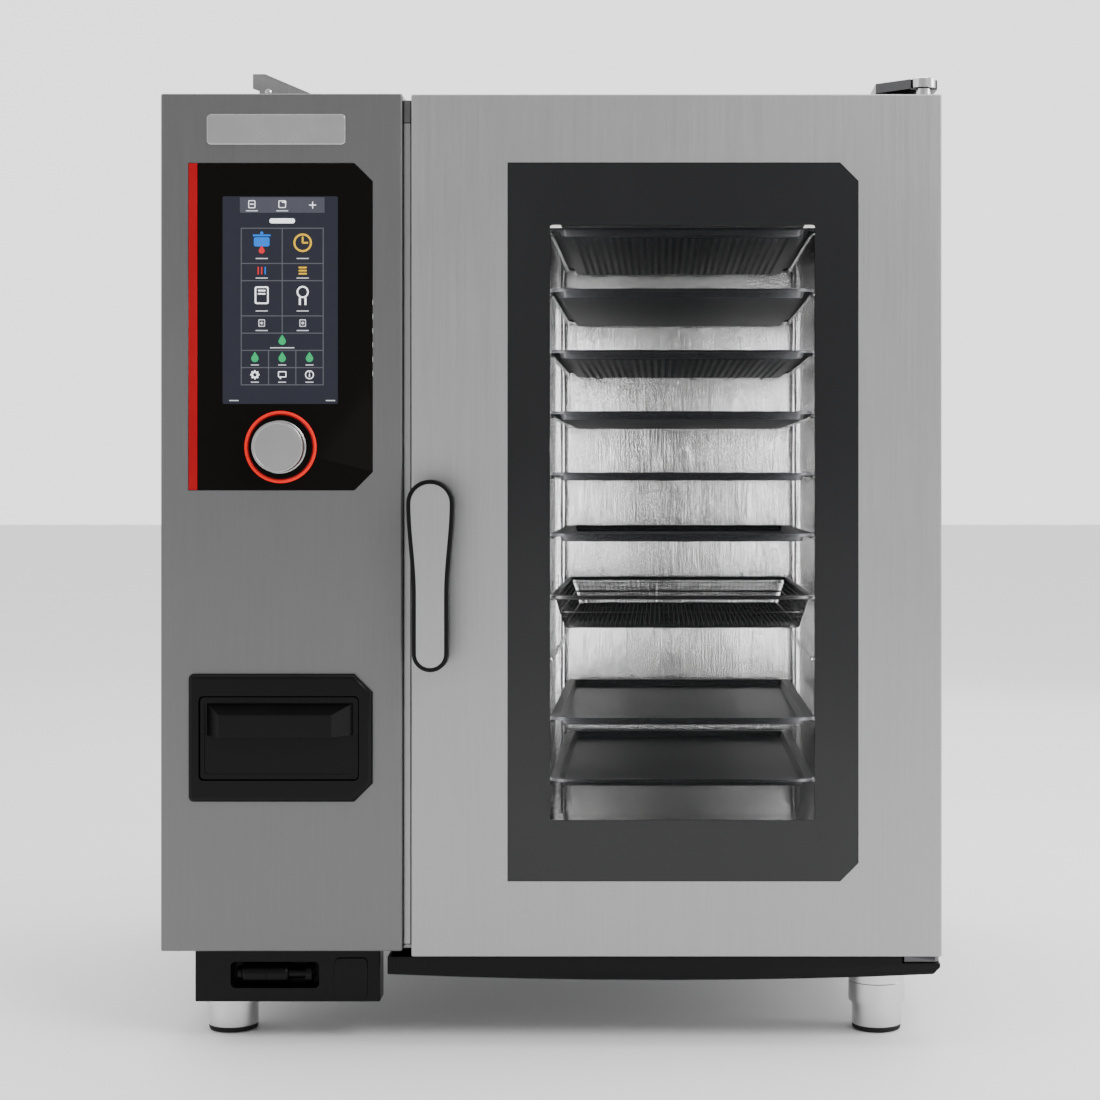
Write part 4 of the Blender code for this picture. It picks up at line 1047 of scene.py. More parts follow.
class OVEN_OT_knob(PieceOperator):
    """Turns the control knob and its light ring"""

    bl_idname = "oven.knob"
    bl_label = "Knob"

    def execute(self, context):
        low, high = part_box("control_knob")
        centre = (low + high) / 2
        radius, deep, chamfer = (high.x - low.x) / 2, high.y - low.y, sizes().knob_chamfer
        profile = [
            (0, radius * 0.985),
            (0.0016, radius),
            (0.0036, radius),
            (0.0042, radius - 0.0012),
            (deep - chamfer, radius - 0.0010),
            (deep - chamfer * 0.35, radius - 0.0010 - chamfer * 0.3),
            (deep, radius - 0.0010 - chamfer),
            (deep, radius * 0.88),
            (deep - 0.0003, radius * 0.86),
            (deep - 0.0003, 0.0004),
        ]
        knob = turned("knob_cap", profile, (centre.x, high.y, centre.z), "-Y", 96)
        dress(knob, "knob", knob_steel(), ["control_knob"], 25)
        low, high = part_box("knob_light_ring")
        outer, width = (high.x - low.x) / 2, 0.0038
        self.add_ring("knob_ring", centre, low.y, high.y, outer, width)
        self.add_ring("knob_ring_lip", centre, low.y + 0.0004, high.y, outer - width + 0.0001, 0.0016)
        return {"FINISHED"}

    def add_ring(self, name, centre, front, back, outer, width):
        """A half-round ring, lit on its outer part and darker on its inner lip."""
        ring = add_bead(name, outer - width / 2, width / 2, (96, 16), rotation=(pi / 2, 0, 0))
        ring.scale = (1, (back - front) / width, 1)
        ring.location = (centre.x, (front + back) / 2, centre.z)
        settle(ring)
        if name.endswith("lip"):
            dress(ring, "casing", finish("ring_lip", moulded(shade(user_colour("red"), 0.45), 0.35)))
        else:
            lit = finish("ring_light", glowing(user_colour("ring"), 0.55))
            dress(ring, "casing", lit, ["knob_light_ring"])


class OVEN_OT_drawer(PieceOperator):
    """Moulds the drawer's bezel, its front with the slanted pull, and its tub"""

    bl_idname = "oven.drawer"
    bl_label = "Drawer"

    def execute(self, context):
        low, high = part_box("drawer_bezel")
        tub_low, tub_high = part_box("drawer_tub")
        rim_high = (high.x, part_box("control_fascia")[0].y - 0.0003, high.z)
        bezel = cut_block("drawer_bezel_rim", low, rim_high, sizes().corner_cut, round_by=0.006)
        front_bevel(bezel, 0.0058, 3)
        play, beyond, wall = Vector((0.0010, 0, 0.0010)), 0.02, 0.003
        hole_low = Vector((tub_low.x, low.y - beyond, tub_low.z)) - play
        hole_high = Vector((tub_high.x, high.y + beyond, tub_high.z)) + play
        cut(bezel, round_block("drawer_hole", hole_low, hole_high, 0.0055))
        sleeve_low = hole_low + Vector((-wall, beyond + 0.0006, -wall))
        sleeve_high = hole_high + Vector((wall, -beyond, wall))
        sleeve = round_block("drawer_sleeve", sleeve_low, sleeve_high, 0.007)
        cut(sleeve, round_block("sleeve_hole", hole_low, hole_high, 0.0055))
        in_plastic(bezel, ["drawer_bezel"])
        in_plastic(sleeve)
        face = low.y + 0.0025
        in_plastic(self.make_tub(tub_low, tub_high, face), ["drawer_tub"], "drawer")
        in_plastic(self.make_pull(tub_low, tub_high, face), (), "drawer")
        return {"FINISHED"}

    def make_tub(self, low, high, face):
        """The drawer's hollow tub, with a sunk field in its front."""
        tub = round_block("drawer_front", (low.x, face, low.z), high, 0.005)
        front_bevel(tub, 0.0010, 2)
        wall, front_wall = 0.0025, 0.008
        hollow_low = Vector((low.x + wall, face + front_wall, low.z + wall))
        hollow_high = Vector((high.x - wall, high.y - wall, high.z + 0.02))
        cut(tub, round_block("tub_hollow", hollow_low, hollow_high, 0.004, axis=2))
        rim, sunk = Vector((0.0055, 0, 0.0065)), 0.0012
        panel_low = Vector((low.x, face - 0.02, low.z)) + rim
        panel_high = Vector((high.x, face + sunk, high.z)) - rim
        return cut(tub, round_block("panel_field", panel_low, panel_high, 0.004))

    def make_pull(self, low, high, face):
        """A hooded pull: a block drawn in towards its front and hollowed from below."""
        left, right = low.x + 0.0069, high.x - 0.0048
        bottom, top = low.z + 0.0521, low.z + 0.0912
        slant_left, slant_right, slant_top = 0.0190, 0.0240, 0.0133
        lip, hollow = 0.0028, 0.012
        wide, tall, centre = right - left, top - bottom, (left + right) / 2
        pull = add_block("drawer_pull", (left, low.y, bottom), (right, face + 0.003, top))
        with editing(pull):
            pick(pull, "FACE", lambda f: near(middle(f).y, low.y))
            shares = ((wide - slant_left - slant_right) / wide, 1, (tall - slant_top) / tall)
            bpy.ops.transform.resize(value=shares, center_override=(centre, 0, bottom))
            bpy.ops.transform.translate(value=((slant_left - slant_right) / 2, 0, 0))
            pick(pull, "FACE", lambda f: near(middle(f).z, bottom) and f.normal.z < -0.9)
            bpy.ops.mesh.inset(thickness=lip)
            extrude((0, 0.001, hollow))
        return edge_bevel(pull, 0.0007, 2, lambda e: middle(e).y < face - 0.001)


class OVEN_OT_shower(PieceOperator):
    """Moulds the black housing under the column and the hand shower in its pocket"""

    bl_idname = "oven.shower"
    bl_label = "Hand shower"

    def execute(self, context):
        low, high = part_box("shower_housing")
        nozzle_low, nozzle_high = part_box("shower_nozzle")
        body_front = low.y + 0.002
        housing = soft_block("shower_housing_body", (low.x, body_front, low.z), high, 0.0015, 3)
        pocket_low = Vector((nozzle_low.x - 0.006, body_front - 0.02, nozzle_low.z - 0.0042))
        pocket_high = Vector((nozzle_high.x + 0.009, body_front + 0.028, nozzle_high.z + 0.0043))
        cut(housing, round_block("shower_pocket_cutter", pocket_low, pocket_high, 0.006))
        in_plastic(housing, ["shower_housing"])
        lid_low = Vector((high.x - 0.0541, low.y, low.z + 0.0051))
        lid_high = Vector((high.x - 0.0147, body_front + 0.002, high.z - 0.0110))
        in_plastic(front_bevel(round_block("housing_lid", lid_low, lid_high, 0.006), 0.0012, 3))
        self.add_shower(nozzle_low, nozzle_high)
        return {"FINISHED"}

    def add_shower(self, low, high):
        """A smooth grip, a thin neck and a flanged spray head."""
        radius = (high.z - low.z) / 2
        tail = ((0, 0.55), (0.0015, 0.70), (0.0060, 0.74), (0.0075, 0.90), (0.0095, 0.98), (0.0120, 1))
        grip = ((0.0350, 1), (0.0356, 0.96), (0.0362, 1), (0.0575, 1), (0.0600, 0.97), (0.0618, 0.86))
        neck = ((0.0625, 0.56), (0.0820, 0.56), (0.0826, 0.90), (0.0832, 0.98))
        profile = [(low.x + along, radius * share) for along, share in tail + grip + neck]
        head = ((0.0006, 0.98), (0, 0.92), (0, 0.62), (0.0015, 0.58))
        profile += [(high.x - short, radius * share) for short, share in head]
        centre = (0, (low.y + high.y) / 2, (low.z + high.z) / 2)
        nozzle = turned("hand_shower", profile, centre, "X", 48)
        in_plastic(nozzle, ["shower_nozzle"], "hand_shower", 28)


class OVEN_OT_door(PieceOperator):
    """Folds the door's outer sheet and finishes its inner frame, lamp strip and inner glass"""

    bl_idname = "oven.door"
    bl_label = "Door"

    def execute(self, context):
        low, high = through(*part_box("door_glass_outer"))
        window = cut_block("door_window_cutter", low - PLAY, high + PLAY, sizes().corner_cut)
        skin_low, skin_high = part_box("door_outer_skin")
        bore, beyond = 0.0067, 0.01
        profile = [(skin_low.z - beyond, bore), (skin_high.z + beyond, bore)]
        pin_bore = turned("pin_cutter", profile, (*door_pin(), 0), "Z", 32)
        front = folded_front("door_front_sheet", "door_outer_skin", [window, pin_bore])
        dress(front, "door", door_steel(), ["door_outer_skin"])
        frame_plastic = finish("door_frame_black", moulded((0.012, 0.012, 0.013), 0.38))
        round_node("door_inner_frame", frame_plastic, 0.0008)
        finish_node("door_lamp_frame", finish("lamp_diffuser", lamp_diffuser))
        round_node("door_glass_inner", finish("inner_pane", clear((0.02, 0.022, 0.022), 0.03)), 0.0008)
        return {"FINISHED"}


class OVEN_OT_door_glass(PieceOperator):
    """Makes the outer pane: clear glass behind a black printed border"""

    bl_idname = "oven.door_glass"
    bl_label = "Door glass"

    def execute(self, context):
        low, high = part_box("door_glass_outer")
        size = sizes()
        print_depth, behind, inset = 0.0006, 0.0001, 0.0004
        border = cut_block("door_glass_border", low, (high.x, low.y + print_depth, high.z), size.corner_cut)
        view_low = Vector((low.x + size.frit_left, low.y - 0.01, low.z + size.frit_low))
        view_high = Vector((high.x - size.frit_right, low.y + 0.01, high.z - size.frit_high))
        cut(border, round_block("view_cutter", view_low, view_high, 0.0035))
        dress(border, "door", border_glass(), ["door_glass_outer"])
        pane_low = Vector((low.x + inset, low.y + print_depth + behind, low.z + inset))
        pane_high = Vector((high.x - inset, high.y, high.z - inset))
        pane = cut_block("door_glass_pane", pane_low, pane_high, size.corner_cut)
        dress(pane, "door", finish("outer_pane", clear((0.01, 0.011, 0.012), 0.08)))
        return {"FINISHED"}


def paddle(name, shrink, front, back):
    """The handle's outline: a circle whose lower half is drawn down and narrowed, with a waist."""
    low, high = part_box("door_handle")
    wide = (high.x - low.x) / 2
    centre_x, turning_z = (low.x + high.x) / 2, high.z - wide
    narrow_share, taper = 0.77, 0.105
    narrow = wide * narrow_share
    drop = turning_z - low.z - narrow
    place = (centre_x, back, turning_z)
    circle = {"vertices": 64, "radius": wide, "rotation": (pi / 2, 0, 0), "location": place}
    piece = settle(begin(name, bpy.ops.mesh.primitive_circle_add, **circle))
    with editing(piece):
        pick(piece, "VERT", lambda v: v.co.z < turning_z - 1e-4)
        bpy.ops.transform.resize(value=(narrow_share,) * 3, center_override=place)
        bpy.ops.transform.translate(value=(0, 0, -drop))
        pick(piece, "EDGE", lambda e: abs(e.verts[0].co.z - e.verts[1].co.z) > drop / 2)
        bpy.ops.mesh.subdivide(number_cuts=23)
    for vertex in piece.data.vertices:
        below = turning_z - vertex.co.z
        if 1e-4 < below < drop:
            share = min(1.0, below / taper)
            ease = share * share * (3 - 2 * share)
            half = wide + (narrow - wide) * ease
            vertex.co.x = centre_x + half * (1 if vertex.co.x > centre_x else -1)
    with editing(piece):
        pick_all()
        bpy.ops.mesh.edge_face_add()
        if shrink:
            bpy.ops.mesh.select_mode(type="FACE")
            bpy.ops.mesh.inset(thickness=shrink)
            bpy.ops.mesh.select_all(action="INVERT")
            bpy.ops.mesh.delete(type="FACE")
            pick_all()
        extrude((0, front - back, 0))
        pick_all()
        bpy.ops.mesh.normals_make_consistent(inside=False)
    return piece


class OVEN_OT_handle(PieceOperator):
    """Moulds the door handle and lays its brushed cover into it"""

    bl_idname = "oven.handle"
    bl_label = "Handle"

    def execute(self, context):
        low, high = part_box("door_handle")
        rim = sizes().handle_rim
        plate_back, bed, laid, sunk = low.y + 0.019, 0.0016, 0.0014, 0.0002
        core = paddle("handle_core", 0, low.y, plate_back)
        front_bevel(core, 0.0022, 4)
        edge_bevel(core, 0.0015, 3, lambda e: all(near(v.co.y, plate_back) for v in e.verts))
        cut(core, paddle("handle_bed_cutter", rim - 0.0003, low.y - 0.01, low.y + bed))
        in_plastic(core, ["door_handle"], "handle", 30)
        cover = paddle("handle_inlay", rim, low.y + sunk, low.y + laid)
        front_bevel(cover, 0.0004, 2)
        inlay = finish("handle_steel", brushed((0.37, 0.37, 0.376), 0.36))
        dress(cover, "handle", inlay, ["handle_cover"], 30)
        wide = (high.x - low.x) / 2
        centre = Vector(((low.x + high.x) / 2, high.y, high.z - wide))
        profile = [(0, 0.0205), (0.0015, 0.0210), (0.004, 0.0195), (high.y - plate_back + 0.001, 0.0190)]
        in_plastic(turned("handle_neck", profile, centre, "-Y", 64), (), "handle")
        round_node("latch_tongue", machined_steel(), 0.0004)
        round_node("latch_keeper", machined_steel(), 0.0005)
        return {"FINISHED"}


class OVEN_OT_hinges(PieceOperator):
    """Rounds the hinge arms, cuts room for the upper pin's cap, and adds cap, collar and screws"""

    bl_idname = "oven.hinges"
    bl_label = "Hinges"

    def execute(self, context):
        # The brackets' dark steel is partly painted shade: on the lower bracket it stands in for the shade
        # under the door's lower right corner.
        dark = finish("hinge_dark_steel", turned_metal((0.10, 0.10, 0.105), 0.35))
        bracket = round_node("hinge_bracket_top", dark, 0.0010, 3)
        round_node("hinge_bracket_bottom", dark, 0.0008, 3)
        pin_x, pin_y = door_pin()
        low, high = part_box("hinge_bracket_top")
        radius, arm, collar, proud = 0.0151, 0.0115, 0.0090, 0.0003
        room_low = (pin_x - radius, low.y - 0.01, high.z - arm - 0.003)
        cut(bracket, add_block("cap_room", room_low, (pin_x + 0.03, pin_y, high.z + 0.01)))
        profile = [(-arm, radius), (-0.0012, radius), (0, radius - 0.0013), (0, 0.0045), (-0.0006, 0.0040)]
        in_bright_steel(turned("hinge_cap", profile, (pin_x, pin_y, high.z + proud)))
        door_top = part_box("door_outer_skin")[1].z
        profile = [(door_top + 0.0004, collar), (high.z - arm - 0.0008, collar)]
        in_bright_steel(turned("hinge_collar", profile, (pin_x, pin_y, 0), "Z", 48))
        head = [(0, 0.0068), (0.0016, 0.0066), (0.0030, 0.0046), (0.0032, 0.0026), (0.0014, 0.0022)]
        places = ((low.x + 0.0110, high.y - 0.036), (low.x + 0.0330, high.y - 0.020))
        for i, (x, y) in enumerate(places):
            in_machined_steel(turned(f"hinge_screw_{i + 1}", head, (x, y, high.z - 0.0010), "Z", 32))
        return {"FINISHED"}


class OVEN_OT_gutter(PieceOperator):
    """Finishes the drip gutter under the door and adds the ribs at its left end"""

    bl_idname = "oven.gutter"
    bl_label = "Drip gutter"

    def execute(self, context):
        round_node("drip_gutter", black_plastic(), 0.0008, 3)
        low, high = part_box("drip_gutter")
        ribs, thick, pitch = [], 0.0016, 0.0042
        for i in range(4):
            x = low.x + 0.004 + pitch * i
            start, end = (x, low.y - 0.0006, low.z + 0.0095), (x + thick, low.y + 0.001, high.z - 0.002)
            ribs.append(soft_block(f"rib_{i}", start, end, 0.0003))
        in_plastic(weld("gutter_ribs", *ribs))
        return {"FINISHED"}


class OVEN_OT_feet(PieceOperator):
    """Turns the four legs with their collars, and moulds their rubber soles"""

    bl_idname = "oven.feet"
    bl_label = "Feet"

    def execute(self, context):
        for name in ("front_left", "front_right", "rear_left", "rear_right"):
            node = "foot_" + name
            low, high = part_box(node)
            centre = (low + high) / 2
            place = (centre.x, centre.y, low.z)
            tall, collar, slim, stout = high.z - low.z, 0.0345, 0.0302, 0.0344
            leg_profile = [
                (0.0060, slim - 0.0016),
                (0.0064, slim - 0.0002),
                (0.0090, slim),
                (collar - 0.0006, slim),
                (collar, stout - 0.0002),
                (collar + 0.0012, stout),
                (collar + 0.0240, stout),
                (collar + 0.0246, stout - 0.0006),
                (collar + 0.0252, stout),
                (tall, stout),
            ]
            in_machined_steel(turned("leg_" + name, leg_profile, place), [node])
            sole_profile = [(0, 0.0270), (0.0008, 0.0290), (0.0045, 0.0300), (0.0064, 0.0296)]
            dress(turned("sole_" + name, sole_profile, place), "casing", black_rubber())
        return {"FINISHED"}


class OVEN_OT_roof_parts(PieceOperator):
    """Finishes the vent deflector, the flue and its flap, and rolls the flue's rim"""

    bl_idname = "oven.roof_parts"
    bl_label = "Roof parts"

    def execute(self, context):
        round_node("vent_deflector", case_steel(), 0.0005)
        finish_node("flue_pipe", bright_steel())
        finish_node("flue_flap", machined_steel())
        low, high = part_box("vent_deflector")
        profile = [(0, 0.0042), (0.0010, 0.0040), (0.0018, 0.0024), (0.0010, 0.0016)]
        place = (low.x + 0.019, low.y, low.z + 0.021)
        in_machined_steel(turned("deflector_screw", profile, place, "-Y", 24))
        low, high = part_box("flue_pipe")
        radius, wall, bead = (high.x - low.x) / 2, 0.0007, 0.0014
        place = ((low.x + high.x) / 2, (low.y + high.y) / 2, high.z - bead)
        in_bright_steel(add_bead("flue_rolled_rim", radius - wall, bead, (64, 12), location=place))
        return {"FINISHED"}


class OVEN_OT_cavity(PieceOperator):
    """Finishes the cavity's liner, gasket, strainer, baffle, fan, heater and wool"""

    bl_idname = "oven.cavity"
    bl_label = "Cavity"

    def execute(self, context):
        finish_node("cavity_liner", liner_steel())
        round_node("air_baffle", liner_steel(), 0.0004)
        round_node("drain_strainer", bright_steel(), 0.0003)
        finish_node("steam_injector", bright_steel())
        finish_node("fan_wheel", finish("cast_aluminium", turned_metal((0.52, 0.52, 0.53), 0.38)))
        finish_node("heating_coil", finish("heater_sheath", turned_metal((0.10, 0.085, 0.08), 0.5)))
        round_node("door_gasket", black_rubber(), 0.0012, 3)
        finish_node("insulation_jacket", finish("mineral_wool", wool))
        round_node("fan_motor", finish("motor_paint", moulded((0.05, 0.055, 0.06), 0.5)), 0.001)
        return {"FINISHED"}


class OVEN_OT_services(PieceOperator):
    """Finishes the drain pipe and the water valve, and threads its two inlets"""

    bl_idname = "oven.services"
    bl_label = "Water and drain"

    def execute(self, context):
        round_node("drain_pipe", black_plastic(), 0.0004)
        round_node("water_inlet_valve", black_plastic(), 0.0008)
        brass = finish("brass", turned_metal((0.62, 0.42, 0.16), 0.3))
        low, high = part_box("water_inlet_valve")
        middle_x = (low.x + high.x) / 2
        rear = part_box("rear_panel")[1].y
        outer, bore, pitch, root, apart, tall = 0.0138, 0.0098, 0.0020, 0.0008, 0.022, high.y - rear
        profile = [(0, outer - root)]
        for i in range(int(tall / pitch)):
            crest = [(pitch * (i + 0.35), outer), (pitch * (i + 0.65), outer)]
            profile += [*crest, (pitch * (i + 1), outer - root)]
        profile += [(tall, outer - 0.0012), (tall, bore), (0.0005, bore)]
        for side, word in ((-1, "soft"), (1, "hard")):
            place = (middle_x + side * apart, rear, low.z + apart)
            inlet = turned(word + "_water_thread", profile, place, "Y", 40)
            dress(inlet, "casing", brass, smooth=30)
        return {"FINISHED"}


class OVEN_OT_racks(PieceOperator):
    """Bends the two tray racks from round rod"""

    bl_idname = "oven.racks"
    bl_label = "Racks"

    def execute(self, context):
        post, rail, post_bend, rail_bend = 0.0038, 0.0028, 0.014, 0.006
        for side, node in ((1, "rack_left"), (-1, "rack_right")):
            low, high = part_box(node)
            post_x = low.x + 0.004 if side > 0 else high.x - 0.004
            rail_x = high.x - 0.003 if side > 0 else low.x + 0.003
            front, back, top = low.y + 0.010, high.y - 0.010, high.z - 0.004
            frame_ends = [(post_x, front, low.z), (post_x, front, top), (post_x, back, top)]
            posts = rod(node + "_posts", frame_ends + [(post_x, back, low.z)], post, post_bend)
            rails = []
            for number in range(1, 11):
                z = self.rail_height(number)
                corners = [(post_x, front, z), (rail_x, front, z), (rail_x, back, z), (post_x, back, z)]
                rails.append(rod(f"rail_{number}", corners, rail, rail_bend))
            in_bright_steel(weld(node + "_rods", posts, *rails), [node], 60)
        return {"FINISHED"}

    def rail_height(self, number):
        """The middle of the rail that carries a level's tray."""
        first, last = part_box("tray_level_01")[1].z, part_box("tray_level_10")[1].z
        drop = 0.0052
        return first + (last - first) * (number - 1) / 9 - drop


class OVEN_OT_trays(PieceOperator):
    """Presses the trays, some of them with a perforated floor"""

    bl_idname = "oven.trays"
    bl_label = "Trays"

    def execute(self, context):
        whole = self.make_tray("tray_pattern", False)
        pierced = self.make_tray("pierced_tray_pattern", True)
        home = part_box(PATTERN_TRAY)[1].z
        for level in LEVELS:
            node = "tray_level_" + level
            pattern = pierced if level in PIERCED_LEVELS else whole
            tray = copy_of(pattern, "tray_" + level, (0, 0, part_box(node)[1].z - home))
            dress(tray, "casing", enamel(), [node], 40)
        bpy.data.objects.remove(whole)
        bpy.data.objects.remove(pierced)
        return {"FINISHED"}

    def make_tray(self, name, holes):
        """A rounded sheet, its field pressed down and its rim turned under."""
        low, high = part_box(PATTERN_TRAY)
        wall, rim, slope, corner, bend, border, lip = 0.0009, 0.0105, 0.0045, 0.020, 0.0012, 0.012, 0.0035
        deep = high.z - low.z - wall
        tray = add_block(name, low, high)
        with editing(tray):
            pick(tray, "FACE", lambda f: f.normal.z < 0.9)
            bpy.ops.mesh.delete(type="FACE")
            pick(tray, "VERT", lambda v: True)
            bpy.ops.mesh.bevel(offset=corner, segments=6, affect="VERTICES")
            pick(tray, "FACE", lambda f: True)
            bpy.ops.mesh.inset(thickness=rim)
            bpy.ops.mesh.inset(thickness=bend, depth=-0.0008)
            bpy.ops.mesh.inset(thickness=slope - 2 * bend, depth=-(deep - 0.0024))
            bpy.ops.mesh.inset(thickness=bend, depth=-0.0016)
            if holes:
                bpy.ops.mesh.inset(thickness=border)
                bpy.ops.mesh.delete(type="FACE")
            pick(tray, "EDGE", lambda e: e.is_boundary and near(middle(e).z, high.z))
            extrude((0, 0, -lip))
        if holes:
            tray = self.add_holes(tray, low, high, rim + slope + border, high.z - deep)
        return apply_modifier(tray, "SOLIDIFY", thickness=wall, offset=-1)

    def add_holes(self, tray, low, high, inset, floor):
        """A grid whose cells are each drawn in and opened."""
        pitch, share = sizes().hole_pitch, 0.24
        wide, deep = high.x - low.x - 2 * inset, high.y - low.y - 2 * inset
        centre = ((low.x + high.x) / 2, (low.y + high.y) / 2, floor - 0.0008)
        grid = add_grid("hole_field", centre, wide, deep, pitch, 0.0006)
        with editing(grid):
            pick_all()
            bpy.ops.mesh.inset(thickness=pitch * share, use_individual=True)
            bpy.ops.mesh.delete(type="FACE")
        return weld(tray.name, tray, grid)


class OVEN_OT_basket(PieceOperator):
    """Weaves the wire basket: a fine mesh in a frame of stout rod"""

    bl_idname = "oven.basket"
    bl_label = "Wire basket"

    def execute(self, context):
        low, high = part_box(BASKET)
        rim, taper = 0.007, 0.011
        top, floor = high.z - 0.003, low.z + 0.0016
        net = self.make_net(low, high, rim, taper, top, floor)
        steel = finish("basket_wire", turned_metal((0.020, 0.020, 0.020), 0.40))
        dress(net, "casing", steel, [BASKET], 60)
        rods = []
        for name, inset, z, radius in (
            ("basket_rim", 0.0028, top, 0.0028),
            ("basket_waist", rim + taper * 0.45, (top + floor) / 2, 0.0014),
            ("basket_foot", rim + taper, floor, 0.0020),
        ):
            x0, x1 = low.x + inset, high.x - inset
            y0, y1 = low.y + inset, high.y - inset
            loop = [(x0, y0, z), (x1, y0, z), (x1, y1, z), (x0, y1, z)]
            rods.append(rod(name, loop, radius, 0.012, closed=True))
        dress(weld("basket_rods", *rods), "casing", steel, (), 60)
        return {"FINISHED"}

    def make_net(self, low, high, rim, taper, top, floor):
        """A square net, its sides drawn up and outwards ring by ring, then made wire."""
        pitch, inset = sizes().wire_pitch, 2 * (rim + taper)
        wide, deep = high.x - low.x - inset, high.y - low.y - inset
        centre = ((low.x + high.x) / 2, (low.y + high.y) / 2, floor)
        net = add_grid("basket_net", centre, wide, deep, pitch)
        steps = round((top - floor) / pitch)
        rise, spread = (top - floor) / steps, 2 * taper / steps
        with editing(net):
            pick(net, "EDGE", lambda e: e.is_boundary)
            for step in range(steps):
                grow = [1 + spread / (side + spread * step) for side in (wide, deep)]
                extrude((0, 0, rise))
                bpy.ops.transform.resize(value=(*grow, 1), center_override=centre)
        wire = {"thickness": sizes().wire, "use_replace": True, "use_even_offset": False}
        return apply_modifier(net, "WIREFRAME", **wire)


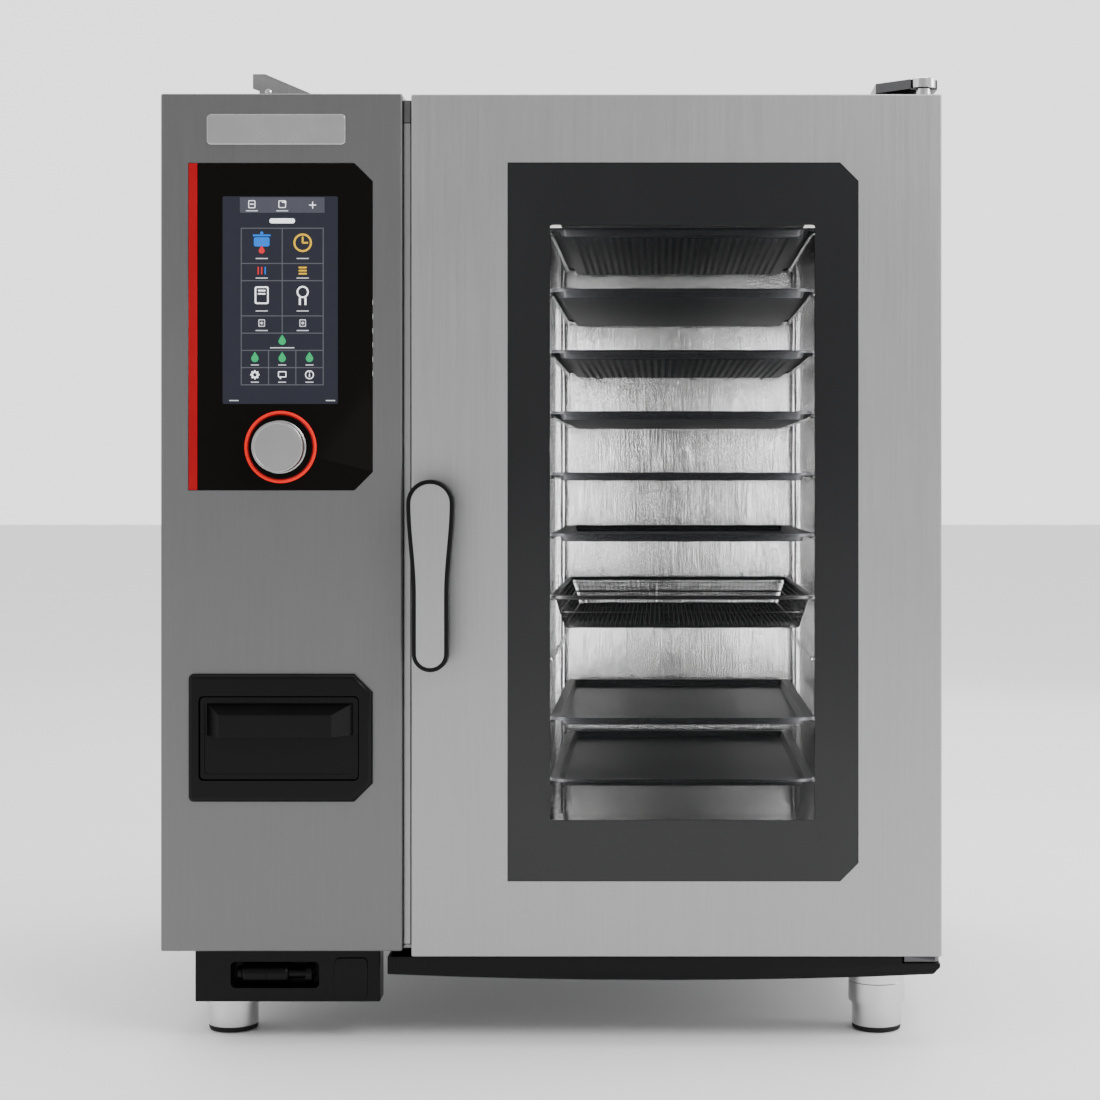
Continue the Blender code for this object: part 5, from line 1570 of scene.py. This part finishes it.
class OVEN_OT_stage(PieceOperator):
    """Lays the floor, hangs the lights and sets up the camera"""

    bl_idname = "oven.stage"
    bl_label = "Stage"

    def execute(self, context):
        self.add_floor()
        self.add_lights()
        self.add_camera()
        return {"FINISHED"}

    def add_floor(self):
        """A wide pale floor, and a studio that brightens a little from front to back."""
        floor = begin("floor", bpy.ops.mesh.primitive_plane_add, size=60)
        floor.location.z = CAD_BOX[0].z - 0.0005
        pale = Finish("pale_floor", (0.94, 0.94, 0.94), 0.7)
        grain = pale.noise((2, 2, 2))
        pale.set("Base Color", pale.mix(grain, (0.93, 0.93, 0.93), (0.96, 0.96, 0.96)))
        floor.data.materials.append(pale.material)
        world = bpy.data.worlds.new("studio")
        world.use_nodes = True
        nodes, links = world.node_tree.nodes, world.node_tree.links
        place, parts = nodes.new("ShaderNodeTexCoord"), nodes.new("ShaderNodeSeparateXYZ")
        glow, sky = nodes.new("ShaderNodeMath"), nodes["Background"]
        glow.operation = "MULTIPLY_ADD"
        glow.inputs[1].default_value, glow.inputs[2].default_value = 0.80, 1.35
        links.new(place.outputs["Generated"], parts.inputs[0])
        links.new(parts.outputs["Y"], glow.inputs[0])
        links.new(glow.outputs[0], sky.inputs["Strength"])
        sky.inputs["Color"].default_value = (1.0, 1.0, 1.0, 1)
        bpy.context.scene.world = world

    def add_lights(self):
        """Large soft boxes around the object and two small ones inside the cavity."""
        centre = Vector((0, 0, 0.6))
        self.soft_box("key", (2.4, -3.0, 3.2), centre, 1.8, 130)
        self.soft_box("fill", (-3.2, -2.6, 1.6), centre, 2.2, 10)
        self.soft_box("top", (0, 0.2, 4.0), centre, 3.0, 80)
        self.soft_box("side", (4.0, 0.0, 1.4), centre, 2.0, 60)
        self.soft_box("back", (1.5, 3.6, 2.0), centre, 2.4, 20)
        low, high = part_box("door_glass_inner")
        inside = (low + high) / 2
        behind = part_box("door_gasket")[1].y + 0.012
        target = Vector((inside.x, behind + 0.5, inside.z))
        for name, x in (("lamp_left", low.x + 0.02), ("lamp_right", high.x - 0.02)):
            lamp = self.soft_box(name, (x, behind, inside.z), target, 0.03, 3.0)
            lamp.shape = "RECTANGLE"
            lamp.size_y = (high.z - low.z) * 0.9

    def soft_box(self, name, place, target, size, power):
        data = bpy.data.lights.new(name, "AREA")
        data.size = size
        data.energy = power
        light = bpy.data.objects.new(name, data)
        light.location = place
        light.rotation_euler = (target - Vector(place)).to_track_quat("-Z", "Y").to_euler()
        bpy.context.scene.collection.objects.link(light)
        return data

    def add_camera(self):
        """Square on to the front, a little right of the middle and below the middle of the window."""
        distance, eye_x, eye_z = 2.6, 0.129, 0.672
        view_wide, middle_x, middle_z = 1.3013, -0.0012, 0.5891
        data = bpy.data.cameras.new("camera")
        data.sensor_width = 36
        data.lens = data.sensor_width * distance / view_wide
        data.shift_x = (middle_x - eye_x) / view_wide
        data.shift_y = (middle_z - eye_z) / view_wide
        camera = bpy.data.objects.new("camera", data)
        camera.location = (eye_x, DOOR_FRONT - distance, eye_z)
        camera.rotation_euler = (pi / 2, 0, 0)
        bpy.context.scene.collection.objects.link(camera)
        bpy.context.scene.camera = camera


OPERATORS = (
    OVEN_OT_stage,
    OVEN_OT_casing,
    OVEN_OT_column,
    OVEN_OT_control_glass,
    OVEN_OT_screen,
    OVEN_OT_knob,
    OVEN_OT_drawer,
    OVEN_OT_shower,
    OVEN_OT_door,
    OVEN_OT_door_glass,
    OVEN_OT_handle,
    OVEN_OT_hinges,
    OVEN_OT_gutter,
    OVEN_OT_feet,
    OVEN_OT_roof_parts,
    OVEN_OT_cavity,
    OVEN_OT_services,
    OVEN_OT_racks,
    OVEN_OT_trays,
    OVEN_OT_basket,
)


class OVEN_PT_panel(bpy.types.Panel):
    """The oven's sizes, colours and pieces"""

    bl_idname = "OVEN_PT_panel"
    bl_label = "Combi steamer oven"
    bl_space_type = "VIEW_3D"
    bl_region_type = "UI"
    bl_category = "Oven"

    def draw(self, context):
        for group in (context.scene.oven_sizes, context.scene.oven_colours):
            for name in group.__annotations__:
                self.layout.prop(group, name)
        for operator in OPERATORS:
            self.layout.operator(operator.bl_idname)


CLASSES = (OvenSizes, OvenColours, *OPERATORS, OVEN_PT_panel)


def register():
    for cls in CLASSES:
        bpy.utils.register_class(cls)
    bpy.types.Scene.oven_sizes = bpy.props.PointerProperty(type=OvenSizes)
    bpy.types.Scene.oven_colours = bpy.props.PointerProperty(type=OvenColours)


def unregister():
    del bpy.types.Scene.oven_colours
    del bpy.types.Scene.oven_sizes
    for cls in reversed(CLASSES):
        bpy.utils.unregister_class(cls)


def main():
    register()
    for operator in OPERATORS:
        group, name = operator.bl_idname.split(".")
        getattr(getattr(bpy.ops, group), name)()


if __name__ == "__main__":
    main()
